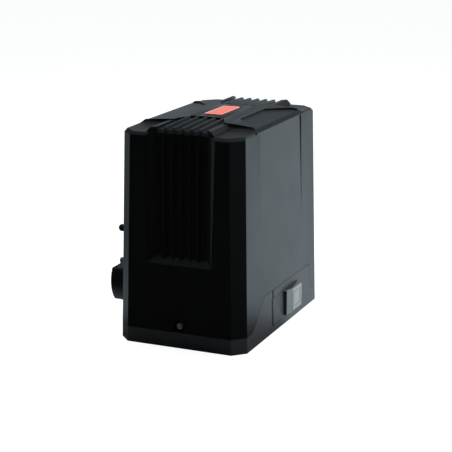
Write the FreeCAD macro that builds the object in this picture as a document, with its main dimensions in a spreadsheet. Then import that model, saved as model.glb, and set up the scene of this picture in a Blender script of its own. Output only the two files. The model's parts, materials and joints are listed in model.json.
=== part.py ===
"""Sliding gate motor: cast and moulded shells, worm drive, clutch release and electrics.

Millimetres. +X is the user side with the release door, -X the gate side with the
pinion, +Z up. The origin is the centre of the anchor slots on the underside.
"""
import FreeCAD, Part
import math
import os
import re

import Sketcher

# Driving dimensions: one cell of the sheet each.
DIMENSIONS = {
    # outer shape of base and cover
    "foot_half_x": 89.5,
    "foot_half_y": 142.9,
    "facet": 15.7,
    "draft": 1.15,
    "rim_top": 20.6,
    "seam_gap": 0.2,
    "shoulder_z": 275.0,
    "bevel_rise": 4.6,
    "bevel_in_x": 2.6,
    "bevel_in_y": 4.6,
    "shell_wall": 3.0,
    "ceiling_z": 274.0,
    # roof of the cover
    "plateau_half_y": 78.0,
    "plateau_half_x": 76.0,
    "plateau_edge_z": 284.0,
    "plateau_foot_z": 277.5,
    "crown": 4.0,
    "scoop_floor_z": 279.2,
    "scoop_radius": 6.5,
    "spine_half": 41.0,
    "spine_top_z": 285.5,
    "spine_flank": 5.5,
    "tray_inner_x": 43.0,
    "tray_outer_x": 69.0,
    "tray_inner_y": 42.0,
    "tray_outer_y": 76.0,
    "tray_z": 284.9,
    "tray_fall": 5.2,
    # ribbed zone on roof and end faces
    "rib_zone_half": 35.0,
    "rib_zone_nose_half": 23.0,
    "rib_zone_back_y": 74.0,
    "rib_zone_nose_y": 50.0,
    "rib_floor_z": 282.0,
    "rib_floor_rise": 2.3,
    "rib_pitch": 12.0,
    "rib_count": 5.0,
    "rib_top_half": 1.3,
    "rib_foot_half": 3.2,
    "rib_rise": 3.3,
    "recess_half": 36.5,
    "recess_depth": 9.0,
    "ledge_z": 110.0,
    "ledge_rise": 8.5,
    "rib_bevel_z": 277.5,
    "rib_bevel_in": 3.3,
    # panel relief on the user side of the cover
    "relief_half_y": 74.0,
    "relief_bottom_z": 138.0,
    "relief_top_z": 277.0,
    "relief_depth": 1.0,
    # screw notches in the end faces
    "notch_half_top": 3.6,
    "notch_half_bottom": 12.4,
    "notch_top_z": 37.0,
    "notch_depth": 5.0,
    "end_screw_z": 29.0,
    "end_screw_r": 2.4,
    # openings on the gate side
    "mouth_half_y": 53.5,
    "mouth_top_z": 98.0,
    "mouth_chamfer": 18.0,
    "lever_window_half_y": 13.0,
    "lever_window_half_z": 7.0,
    # badge
    "badge_x": 25.0,
    "badge_y": 66.0,
    "badge_seat_z": 287.4,
    "badge_thick": 1.3,
    "badge_gap": 0.2,
    # base
    "floor_thick": 8.0,
    "rim_wall": 4.0,
    "panel_thick": 3.6,
    "panel_top_z": 58.4,
    "panel_gap": 0.5,
    "slot_inset_x": 37.5,
    "slot_inset_y": 30.9,
    "slot_length": 22.0,
    "slot_r": 5.0,
    "entry_x": 0.0,
    "entry_inset": 44.9,
    "entry_r": 20.0,
    # release door in the user side panel
    "hinge_x": 85.0,
    "hinge_y": -35.8,
    "hinge_pin_r": 1.8,
    "hinge_fit": 0.08,
    "knuckle_r": 3.4,
    "door_left_gap": 4.6,
    "door_end_y": 60.0,
    "door_bottom_z": 9.5,
    "door_top_z": 47.0,
    "door_gap": 0.4,
    "door_thick": 3.2,
    "boss_left_y": 4.0,
    "boss_ridge_y": 20.0,
    "boss_right_y": 57.0,
    "boss_bottom_z": 12.4,
    "boss_top_z": 46.6,
    "boss_left_x": 93.0,
    "boss_face_x": 95.0,
    "cap_left_y": 21.0,
    "cap_right_y": 55.0,
    "cap_bottom_z": 14.0,
    "cap_top_z": 45.0,
    "cap_thick": 2.4,
    "cap_gap": 0.7,
    "cap_proud": 0.3,
    "lock_y": 45.0,
    "lock_z": 28.0,
    "lock_r": 7.0,
    "cam_length": 17.5,
    "cam_thick": 2.5,
    "lobe_length": 8.0,
    "lobe_r": 3.0,
    "release_travel": 5.0,
    "notch_y": -36.0,
    "notch_half": 1.8,
    # output shaft line
    "shaft_y": -30.0,
    "shaft_z": 52.5,
    "shaft_r": 10.0,
    "wheel_x": -34.0,
    "wheel_width": 14.0,
    "wheel_teeth": 30.0,
    "worm_module": 2.0,
    "worm_pitch_r": 8.0,
    "hub_r": 16.0,
    "hub_end_x": -21.0,
    "dog_height": 4.0,
    "dog_inner_r": 12.5,
    "dog_outer_r": 19.0,
    "dog_angle": 48.0,
    "sleeve_length": 14.0,
    "clutch_pin_back": 14.0,
    "run_gap": 0.05,
    "pinion_module": 4.0,
    "pinion_teeth": 16.0,
    "pinion_end_x": -132.0,
    "pinion_width": 28.0,
    "bearing_a_x": -82.5,
    "bearing_a_width": 14.0,
    "bearing_a_r": 23.5,
    "bearing_b_x": -19.0,
    "bearing_b_width": 12.0,
    "bearing_b_r": 21.0,
    "rod_r": 4.0,
    # gearbox casting
    "gear_joint_x": -66.0,
    "gear_inner_x": 4.0,
    "gear_left_y": -74.0,
    "gear_right_y": 26.0,
    "gear_top_z": 96.0,
    "gear_cut": 14.0,
    "gear_cavity_r": 35.0,
    "gear_face_x": -92.0,
    "gear_flange": 6.0,
    "motor_flange_top": 104.0,
    "motor_flange_r": 44.0,
    # motor
    "motor_r": 45.0,
    "core_bottom_z": 122.0,
    "core_top_z": 172.0,
    "shield_top_z": 193.0,
    "stator_bore_r": 22.5,
    "air_gap": 0.5,
    "motor_shaft_r": 6.0,
    "motor_bolt_r": 2.2,
    "motor_bolt_circle": 40.5,
    # pinion guard
    "guard_r": 39.5,
    "guard_wall": 2.2,
    "guard_end_x": -137.0,
    "guard_top_z": 71.7,
    "guard_bottom_z": 26.1,
    "guard_screw_y": 45.0,
    "guard_screw_z": 47.0,
    # limit switch
    "lever_x": -78.0,
    "lever_y": -34.0,
    "lever_z": 121.0,
    "lever_reach": 57.8,
    "lever_ball_r": 5.1,
    "lever_r": 1.9,
    # electrics
    "tray_plate_y": 62.0,
    "tray_thick": 2.5,
    "board_y": 70.5,
    "board_thick": 1.6,
    "board_half_x": 62.0,
    "board_bottom_z": 92.0,
    "board_top_z": 236.0,
    "transformer_inset": 64.9,
    "transformer_x": 42.0,
    "capacitor_x": -11.0,
    "capacitor_r": 15.0,
}

doc = FreeCAD.newDocument("SlidingGateMotor")
sheet = doc.addObject("Spreadsheet::Sheet", "Dims")
for row, (alias, number) in enumerate(DIMENSIONS.items(), start=1):
    sheet.set(f"A{row}", alias)
    sheet.set(f"B{row}", str(number))
    sheet.setAlias(f"B{row}", alias)
doc.recompute()

NODES = {}
PLANES = {"z": "XY_Plane", "y": "XZ_Plane", "x": "YZ_Plane"}


def bound(text):
    """Point every cell name in a formula at the sheet."""
    return re.sub(
        r"[A-Za-z_]\w*",
        lambda word: "Dims." + word.group(0) if word.group(0) in DIMENSIONS else word.group(0),
        str(text),
    )


def measure(text):
    """Value of a formula with the sheet as it stands."""
    value = sheet.evalExpression(bound(text))
    return float(value.Value if hasattr(value, "Value") else value)


def half_x(z, inset="0"):
    """Half width of the drafted outside at height z."""
    return f"(foot_half_x - ({z}) * tan(draft) - ({inset}))"


def half_y(z, inset="0"):
    """Half length of the drafted outside at height z."""
    return f"(foot_half_y - ({z}) * tan(draft) - ({inset}))"


def octagon(wide, deep, facet="facet"):
    """Rectangle with its four corners cut at 45 degrees."""
    short_x, short_y = f"({wide}) - ({facet})", f"({deep}) - ({facet})"
    return [
        (f"-({short_x})", f"-({deep})"), (short_x, f"-({deep})"),
        (wide, f"-({short_y})"), (wide, short_y),
        (short_x, deep), (f"-({short_x})", deep),
        (f"-({wide})", short_y), (f"-({wide})", f"-({short_y})"),
    ]


def rectangle(low_u, low_v, high_u, high_v):
    """Corners of a rectangle."""
    return [(low_u, low_v), (high_u, low_v), (high_u, high_v), (low_u, high_v)]


def new_body(label):
    """Empty body that becomes the node of that name."""
    body = doc.addObject("PartDesign::Body", label)
    body.Label = label
    NODES[label] = body
    return body


def sketch_on(body, normal, at=("0", "0", "0"), turn=None):
    """Sketch on an origin plane, moved to a point and turned about its own first axis."""
    role = PLANES[normal]
    sketch = body.newObject("Sketcher::SketchObject", f"{body.Name}_sketch")
    plane = next(item for item in body.Origin.OriginFeatures if item.Role == role)
    sketch.AttachmentSupport = [(plane, "")]
    sketch.MapMode = "FlatFace"
    if turn:
        axis = FreeCAD.Vector(1, 0, 0) if turn[0] == "u" else FreeCAD.Vector(0, 1, 0)
        turned = FreeCAD.Rotation(axis, measure(turn[1]))
        sketch.AttachmentOffset = FreeCAD.Placement(FreeCAD.Vector(), turned)
        sketch.setExpression("AttachmentOffset.Rotation.Angle", bound(f"({turn[1]}) * 1 deg"))
        sketch.setExpression("AttachmentOffset.Rotation.Axis.x", "1" if turn[0] == "u" else "0")
        sketch.setExpression("AttachmentOffset.Rotation.Axis.y", "0" if turn[0] == "u" else "1")
    world = dict(zip("xyz", at))
    local = {
        "z": (world["x"], world["y"], world["z"]),
        "y": (world["x"], world["z"], f"-({world['y']})"),
        "x": (world["y"], world["z"], world["x"]),
    }[normal]
    for name, formula in zip("xyz", local):
        sketch.setExpression(f"AttachmentOffset.Base.{name}", bound(formula))
    return sketch


def arc_between(start, end, radius, side):
    """Arc of the given radius bulging to one side of the chord, and if it runs clockwise."""
    chord = end - start
    middle = (start + end) * 0.5
    normal = FreeCAD.Vector(-chord.y, chord.x, 0).normalize() * side
    lift = math.sqrt(max(radius ** 2 - (chord.Length / 2) ** 2, 0.0))
    centre = middle - normal * lift
    first, last = start - centre, end - centre
    angles = math.atan2(first.y, first.x), math.atan2(last.y, last.x)
    clockwise = side > 0
    if clockwise:
        angles = angles[::-1]
    circle = Part.Circle(centre, FreeCAD.Vector(0, 0, 1), radius)
    return Part.ArcOfCircle(circle, *angles), clockwise


def outline(sketch, points):
    """Closed outline; a point may add (radius, side) for an arc to the next point."""
    places = [FreeCAD.Vector(measure(point[0]), measure(point[1]), 0) for point in points]
    first_index = len(sketch.Geometry)
    ends, shapes, arcs = [], [], []
    for index, point in enumerate(points):
        start, end = places[index], places[(index + 1) % len(points)]
        if len(point) > 2:
            shape, clockwise = arc_between(start, end, measure(point[2]), point[3])
            arcs.append((first_index + index, point[2]))
        else:
            shape, clockwise = Part.LineSegment(start, end), False
        shapes.append(shape)
        ends.append((2, 1) if clockwise else (1, 2))
    sketch.addGeometry(shapes, False)
    rules, formulas = [], []
    for index, point in enumerate(points):
        geometry = first_index + index
        following = (index + 1) % len(points)
        rules.append(Sketcher.Constraint(
            "Coincident", geometry, ends[index][1], first_index + following, ends[following][0]))
        formulas.append(None)
        for kind, formula, value in (
                ("DistanceX", point[0], places[index].x), ("DistanceY", point[1], places[index].y)):
            rules.append(Sketcher.Constraint(kind, -1, 1, geometry, ends[index][0], value))
            formulas.append(formula)
    for geometry, radius in arcs:
        rules.append(Sketcher.Constraint("Radius", geometry, measure(radius)))
        formulas.append(radius)
    first_rule = len(sketch.Constraints)
    sketch.addConstraint(rules)
    for offset, formula in enumerate(formulas):
        if formula is not None:
            sketch.setExpression(f"Constraints[{first_rule + offset}]", bound(formula))


def circle(sketch, centre_u, centre_v, radius):
    """Full circle with its centre and radius bound to the sheet."""
    place = FreeCAD.Vector(measure(centre_u), measure(centre_v), 0)
    geometry = sketch.addGeometry(
        Part.Circle(place, FreeCAD.Vector(0, 0, 1), measure(radius)), False)
    for kind, formula in (("DistanceX", centre_u), ("DistanceY", centre_v)):
        value = place.x if kind == "DistanceX" else place.y
        rule = sketch.addConstraint(Sketcher.Constraint(kind, -1, 1, geometry, 3, value))
        sketch.setExpression(f"Constraints[{rule}]", bound(formula))
    rule = sketch.addConstraint(Sketcher.Constraint("Radius", geometry, measure(radius)))
    sketch.setExpression(f"Constraints[{rule}]", bound(radius))


def extrude(kind, body, normal, shape, start, stop, turn=None, at=("0", "0", "0")):
    """Pad or Pocket a shape from start to stop along the positive world axis.

    The shape is a list of outline points, or a list of circles (u, v, radius) given
    as a tuple of tuples.
    """
    spot = list(at)
    index = "xyz".index(normal)
    spot[index] = start
    sketch = sketch_on(body, normal, spot, turn)
    if isinstance(shape, tuple):
        for centre_u, centre_v, radius in shape:
            circle(sketch, centre_u, centre_v, radius)
    else:
        outline(sketch, shape)
    feature = body.newObject(f"PartDesign::{kind}", f"{body.Name}_{kind.lower()}")
    feature.Profile = sketch
    feature.setExpression("Length", bound(f"({stop}) - ({start})"))
    feature.Reversed = (normal == "y") if kind == "Pad" else (normal != "y")
    sketch.Visibility = False
    return feature


def pad(body, normal, shape, start, stop, **more):
    """Add a prism."""
    return extrude("Pad", body, normal, shape, start, stop, **more)


def cut(body, normal, shape, start, stop, **more):
    """Remove a prism."""
    return extrude("Pocket", body, normal, shape, start, stop, **more)


def turn_about(kind, body, axis, shape, at=("0", "0", "0")):
    """Revolve an outline: (along, radius) about x or y, (radius, along) about z."""
    sketch = sketch_on(body, "x" if axis == "y" else "y", at)
    outline(sketch, shape)
    feature = body.newObject(f"PartDesign::{kind}", f"{body.Name}_{kind.lower()}")
    feature.Profile = sketch
    feature.ReferenceAxis = (sketch, ["V_Axis" if axis == "z" else "H_Axis"])
    feature.Angle = 360
    return feature


def turned(body, axis, shape, at=("0", "0", "0")):
    """Add a turned form."""
    return turn_about("Revolution", body, axis, shape, at)


def bored(body, axis, shape, at=("0", "0", "0")):
    """Remove a turned form."""
    return turn_about("Groove", body, axis, shape, at)


def blend(kind, body, normal, sections):
    """Loft straight walls through outlines at given places along one world axis."""
    sketches = []
    for place, points in sections:
        spot = ["0", "0", "0"]
        spot["xyz".index(normal)] = place
        sketch = sketch_on(body, normal, spot)
        outline(sketch, points)
        sketches.append(sketch)
    feature = body.newObject(f"PartDesign::{kind}Loft", f"{body.Name}_loft")
    feature.Profile = sketches[0]
    feature.Sections = sketches[1:]
    feature.Ruled = True
    return feature


def mirror(body, features, role):
    """Repeat features on the other side of an origin plane."""
    feature = body.newObject("PartDesign::Mirrored", f"{body.Name}_mirror")
    plane = next(item for item in body.Origin.OriginFeatures if item.Role == role)
    feature.Originals = features
    feature.MirrorPlane = (plane, [""])
    body.Tip = feature
    return feature


def around(body, features, axis_sketch, count):
    """Repeat features evenly round the normal of a sketch."""
    doc.recompute()
    feature = body.newObject("PartDesign::PolarPattern", f"{body.Name}_polar")
    feature.Originals = features
    feature.Axis = (axis_sketch, ["N_Axis"])
    feature.Angle = 360
    feature.setExpression("Occurrences", bound(count))
    body.Tip = feature
    return feature


def along_x(body, features, sketch, length, count):
    """Repeat features in a row along +X."""
    doc.recompute()
    feature = body.newObject("PartDesign::LinearPattern", f"{body.Name}_row")
    feature.Originals = features
    feature.Direction = (sketch, ["H_Axis"])
    feature.setExpression("Length", bound(length))
    feature.setExpression("Occurrences", bound(count))
    body.Tip = feature
    return feature


def rod(name, axis, radius, length, at):
    """Part cylinder that starts at a point and runs along a world axis."""
    item = doc.addObject("Part::Cylinder", name)
    item.setExpression("Radius", bound(radius))
    item.setExpression("Height", bound(length))
    tilt = {"x": (0, 1, 0), "y": (-1, 0, 0), "z": (0, 0, 1)}[axis]
    angle = 0 if axis == "z" else 90
    item.Placement = FreeCAD.Placement(
        FreeCAD.Vector(), FreeCAD.Rotation(FreeCAD.Vector(*tilt), angle))
    for name_of, formula in zip("xyz", at):
        item.setExpression(f"Placement.Base.{name_of}", bound(formula))
    return item


def block(name, low, high):
    """Part box between two corners."""
    item = doc.addObject("Part::Box", name)
    for side, first, last in zip(("Length", "Width", "Height"), low, high):
        item.setExpression(side, bound(f"({last}) - ({first})"))
    for name_of, formula in zip("xyz", low):
        item.setExpression(f"Placement.Base.{name_of}", bound(formula))
    return item


def joined(label, pieces):
    """Fuse pieces that are one solid."""
    item = doc.addObject("Part::MultiFuse", label)
    item.Shapes = pieces
    item.Refine = True
    return item


def without(label, piece, tool):
    """Piece with a tool cut out of it."""
    item = doc.addObject("Part::Cut", label)
    item.Base = piece
    item.Tool = tool
    return item


def group(label, pieces):
    """Separate solids kept together in one node."""
    item = doc.addObject("Part::Compound", label)
    item.Links = pieces
    return item


def node(label, item):
    """Keep an object as the node of that name."""
    item.Label = label
    NODES[label] = item
    return item


def screws(label, axis, places, head_r, head_thick, shank_r, shank_length, socket_r):
    """Group of equal socket screws; each place is the seat of a head, axis leads to the head."""
    sign = -1 if axis.startswith("-") else 1
    letter = axis[-1]
    index = "xyz".index(letter)
    solids = []
    for number, place in enumerate(places):
        def start(offset):
            spot = list(place)
            spot[index] = f"{spot[index]} + ({offset})"
            return spot
        head_start = "0" if sign > 0 else f"-({head_thick})"
        shank_start = f"-({shank_length})" if sign > 0 else "-0.5"
        socket_start = f"({head_thick}) * 0.45" if sign > 0 else f"-({head_thick}) - 0.5"
        head = rod(f"{label}_head", letter, head_r, head_thick, start(head_start))
        shank = rod(f"{label}_shank", letter, shank_r, f"({shank_length}) + 0.5",
                    start(shank_start))
        socket = rod(f"{label}_socket", letter, socket_r, f"({head_thick}) * 0.55 + 0.5",
                     start(socket_start))
        body = joined(f"{label}_body", [head, shank])
        solids.append(without(f"{label}_{number}", body, socket))
    return node(label, group(f"{label}_set", solids))


def bearing(label, axis, at, start, width, bore, outside):
    """Sealed ball bearing as one turned ring with recessed seals."""
    body = new_body(label)
    ring = f"(({outside}) - ({bore})) * 0.28"
    dip = "0.6"
    end = f"({start}) + ({width})"
    profile = [
        (start, bore), (start, f"({bore}) + {ring}"),
        (f"({start}) + {dip}", f"({bore}) + {ring}"), (f"({start}) + {dip}", f"({outside}) - {ring}"),
        (start, f"({outside}) - {ring}"), (start, outside),
        (end, outside), (end, f"({outside}) - {ring}"),
        (f"({end}) - {dip}", f"({outside}) - {ring}"), (f"({end}) - {dip}", f"({bore}) + {ring}"),
        (end, f"({bore}) + {ring}"), (end, bore),
    ]
    if axis == "z":
        profile = [(radius, place) for place, radius in profile]
    turned(body, axis, profile, at)
    return body


SHAFT_LINE = ("0", "shaft_y", "shaft_z")
PI = "3.14159265"
WORM_PITCH = f"({PI} * worm_module)"
PIN_X = "(wheel_x - wheel_width / 2 - clutch_pin_back)"
MOTOR_Y = "shaft_y + (worm_module * wheel_teeth / 2 + worm_pitch_r)"
MOTOR_LINE = ("wheel_x", MOTOR_Y, "0")
SLOT_X = "(foot_half_x - slot_inset_x)"
SLOT_Y = "(foot_half_y - slot_inset_y)"
ENTRY_Y = "(foot_half_y - entry_inset)"
TAB_INNER_Y = half_y("end_screw_z", "notch_depth + shell_wall + 11")


def make_base():
    """Base tray with drafted rim, user side panel, anchor slots and screw tabs."""
    body = new_body("base")
    blend("Additive", body, "z", [
        ("0", octagon(half_x("0"), half_y("0"))),
        ("rim_top", octagon(half_x("rim_top"), half_y("rim_top"))),
    ])
    inner = octagon(half_x("rim_top", "rim_wall"), half_y("rim_top", "rim_wall"))
    cut(body, "z", inner, "floor_thick", "rim_top + 1")
    # panel that rises on the user side, in line with the drafted rim
    panel = [
        ("-126", "floor_thick"), ("-126", "rim_top - 1"), ("-107", "rim_top + 1.4"),
        ("-94.5", "32"), ("-67", "panel_top_z"), ("102", "panel_top_z"),
        ("110", "rim_top + 2.1"), ("125", "rim_top - 1"), ("125", "floor_thick"),
    ]
    pad(body, "x", panel, half_x("panel_top_z", "panel_thick"), half_x("floor_thick"))
    skim = [
        (half_x("0"), "0"), (half_x("panel_top_z + 5"), "panel_top_z + 5"),
        ("foot_half_x + 5", "panel_top_z + 5"), ("foot_half_x + 5", "0"),
    ]
    cut(body, "y", skim, "-foot_half_y", "foot_half_y")
    # ear behind the panel that holds the top of the hinge pin
    ear = rectangle("hinge_x - 4.5", "hinge_y - 5", half_x("panel_top_z", "1"), "hinge_y + 5")
    pad(body, "z", ear, "door_top_z + door_gap", "panel_top_z - 1")
    # window for the release door, notch over its hinge, hole for its pin
    window = rectangle("hinge_y - door_left_gap - door_gap", "door_bottom_z - door_gap",
                       "door_end_y + door_gap", "door_top_z + door_gap")
    cut(body, "x", window, "hinge_x - 6", "foot_half_x + 1")
    notch = rectangle("notch_y - notch_half", "door_top_z", "notch_y + notch_half",
                      "panel_top_z + 1")
    cut(body, "x", notch, "hinge_x + hinge_pin_r * 0.3", "foot_half_x + 1")
    cut(body, "z", (("hinge_x", "hinge_y", "hinge_pin_r + 0.02"),), "3", "panel_top_z - 4")
    # tabs that take the two cover screws
    for sign in ("-", ""):
        low = f"{sign}{TAB_INNER_Y}"
        high = f"{sign}{half_y('end_screw_z', 'notch_depth + shell_wall + 0.3')}"
        start, stop = (high, low) if sign else (low, high)
        tab = [("-13", "floor_thick - 1"), ("-8", "notch_top_z + 3"), ("8", "notch_top_z + 3"),
               ("13", "floor_thick - 1")]
        pad(body, "y", tab, start, stop)
        hole_end = f"{sign}{half_y('end_screw_z')}"
        first, last = (hole_end, low) if sign else (low, hole_end)
        cut(body, "y", (("0", "end_screw_z", "end_screw_r + 0.05"),), first, last)
    # anchor slots, cable entry and the bolt holes of the gearbox feet
    for sign_x in ("-", ""):
        for sign_y in ("-", ""):
            slot = [
                (f"{sign_x}{SLOT_X} - slot_length / 2 + slot_r", f"{sign_y}{SLOT_Y} - slot_r"),
                (f"{sign_x}{SLOT_X} + slot_length / 2 - slot_r", f"{sign_y}{SLOT_Y} - slot_r",
                 "slot_r * 1.0001", -1),
                (f"{sign_x}{SLOT_X} + slot_length / 2 - slot_r", f"{sign_y}{SLOT_Y} + slot_r"),
                (f"{sign_x}{SLOT_X} - slot_length / 2 + slot_r", f"{sign_y}{SLOT_Y} + slot_r",
                 "slot_r * 1.0001", -1),
            ]
            cut(body, "z", slot, "-1", "floor_thick + 1")
    cut(body, "z", (("entry_x", ENTRY_Y, "entry_r"),), "-1", "floor_thick + 1")
    feet = tuple((x, y, "3.3") for x, y in GEARBOX_FEET)
    cut(body, "z", feet, "-1", "floor_thick + 1")
    heads = tuple((x, y, "6.2") for x, y in GEARBOX_FEET)
    cut(body, "z", heads, "-1", "4")


def cover_roof(body):
    """Crowned plateau, scooped corners, central spine and the two side trays."""
    crown_r = "(plateau_half_x ^ 2 + crown ^ 2) / (2 * crown)"
    profile = [
        (f"-{half_x('plateau_foot_z')}", "shoulder_z - 1"),
        (f"-{half_x('plateau_foot_z')}", "plateau_foot_z"),
        ("-plateau_half_x", "plateau_edge_z", crown_r, 1),
        ("plateau_half_x", "plateau_edge_z"),
        (half_x("plateau_foot_z"), "plateau_foot_z"),
        (half_x("plateau_foot_z"), "shoulder_z - 1"),
    ]
    reach = "plateau_half_y + scoop_radius"
    pad(body, "y", profile, f"-({reach})", reach)
    scoop = [
        ("plateau_half_y", "plateau_edge_z + crown + 2"),
        ("plateau_half_y", "scoop_floor_z + scoop_radius", "scoop_radius", -1),
        ("plateau_half_y + scoop_radius", "scoop_floor_z"),
        ("foot_half_y + 5", "scoop_floor_z - 0.6"),
        ("foot_half_y + 5", "plateau_edge_z + crown + 2"),
    ]
    feature = cut(body, "x", scoop, "-foot_half_x - 5", "foot_half_x + 5")
    mirror(body, [feature], "XZ_Plane")
    spine = [
        ("-spine_half - spine_flank", "spine_top_z - spine_flank"),
        ("-spine_half", "spine_top_z"), ("spine_half", "spine_top_z"),
        ("spine_half + spine_flank", "spine_top_z - spine_flank"),
        ("spine_half + spine_flank", "shoulder_z - 2"),
        ("-spine_half - spine_flank", "shoulder_z - 2"),
    ]
    spine_end = half_y("shoulder_z", "bevel_in_y - 0.4")
    pad(body, "y", spine, f"-{spine_end}", spine_end)
    tray = [
        ("tray_inner_x", "-tray_inner_y"), ("tray_outer_x", "-tray_outer_y"),
        ("foot_half_x + 5", "-tray_outer_y"), ("foot_half_x + 5", "tray_outer_y"),
        ("tray_outer_x", "tray_outer_y"), ("tray_inner_x", "tray_inner_y"),
    ]
    lift = "tray_z + tray_inner_x * tan(tray_fall)"
    feature = cut(body, "z", tray, lift, f"{lift} + 12", turn=("v", "tray_fall"))
    mirror(body, [feature], "YZ_Plane")


def cover_ribs(body):
    """Open topped recess in each end face with ribs that run over onto the roof."""
    inner = half_y("ledge_z", "recess_depth")
    zone = [
        ("-rib_zone_half", "foot_half_y + 5"), ("-rib_zone_half", "rib_zone_back_y"),
        ("-rib_zone_nose_half", "rib_zone_nose_y"), ("rib_zone_nose_half", "rib_zone_nose_y"),
        ("rib_zone_half", "rib_zone_back_y"), ("rib_zone_half", "foot_half_y + 5"),
    ]
    lift = "rib_floor_z + 125 * tan(rib_floor_rise)"
    feature = cut(body, "z", zone, lift, f"{lift} + 12", turn=("u", "-rib_floor_rise"))
    mirror(body, [feature], "XZ_Plane")
    side = "recess_depth + 6"
    recess = [
        ("-recess_half", "-recess_depth"), (f"-recess_half - ({side})", "6"),
        (f"recess_half + ({side})", "6"), ("recess_half", "-recess_depth"),
    ]
    feature = cut(body, "z", recess, "ledge_z - 6", "plateau_edge_z + 20",
                  turn=("u", "draft"), at=("0", half_y("ledge_z"), "0"))
    mirror(body, [feature], "XZ_Plane")
    ledge = [
        (half_y("ledge_z - 8"), "ledge_z - 8"), (half_y("ledge_z"), "ledge_z"),
        (inner, "ledge_z + ledge_rise"), (f"{inner} - 2", "ledge_z + ledge_rise"),
        (f"{inner} - 2", "ledge_z - 8"),
    ]
    width = "recess_half + recess_depth + 1"
    feature = pad(body, "x", ledge, f"-({width})", width)
    mirror(body, [feature], "XZ_Plane")
    bevel = [
        (half_y("rib_bevel_z", "recess_depth"), "rib_bevel_z"),
        (half_y("rib_bevel_z", "recess_depth + rib_bevel_in"), "rib_floor_z"),
        ("foot_half_y", "rib_floor_z + 4"), ("foot_half_y", "rib_bevel_z"),
    ]
    feature = cut(body, "x", bevel, "-recess_half + 0.2", "recess_half - 0.2")
    mirror(body, [feature], "XZ_Plane")


def rib_section(rise, sign):
    """Side view of one rib with its face lifted off the wall and roof by rise."""
    foot_z = "ledge_z + ledge_rise - 3"
    foot_y = half_y(foot_z, "recess_depth")
    wall_y = half_y("rib_bevel_z", "recess_depth")
    roof_y = half_y("rib_bevel_z", "recess_depth + rib_bevel_in")
    floor_end = "(rib_floor_z + (125 - rib_zone_nose_y) * tan(rib_floor_rise))"
    deep = "2.2"
    points = [
        (f"({foot_y} + ({rise}))", foot_z),
        (f"({wall_y} + ({rise}))", f"rib_bevel_z + ({rise}) * 0.35"),
        (f"({roof_y} + ({rise}) * 0.45)", f"rib_floor_z + ({rise})"),
        ("rib_zone_nose_y + 3", f"{floor_end} + ({rise}) - 0.4"),
        ("rib_zone_nose_y + 3", f"{floor_end} - {deep}"),
        (f"({roof_y} - {deep})", f"rib_floor_z - {deep}"),
        (f"({wall_y} - {deep})", "rib_bevel_z - 0.8"),
        (f"({foot_y} - {deep})", foot_z),
    ]
    return [(f"{sign}{u}" if sign else u, v) for u, v in
            [(f"({u})", v) for u, v in points]]


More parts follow.
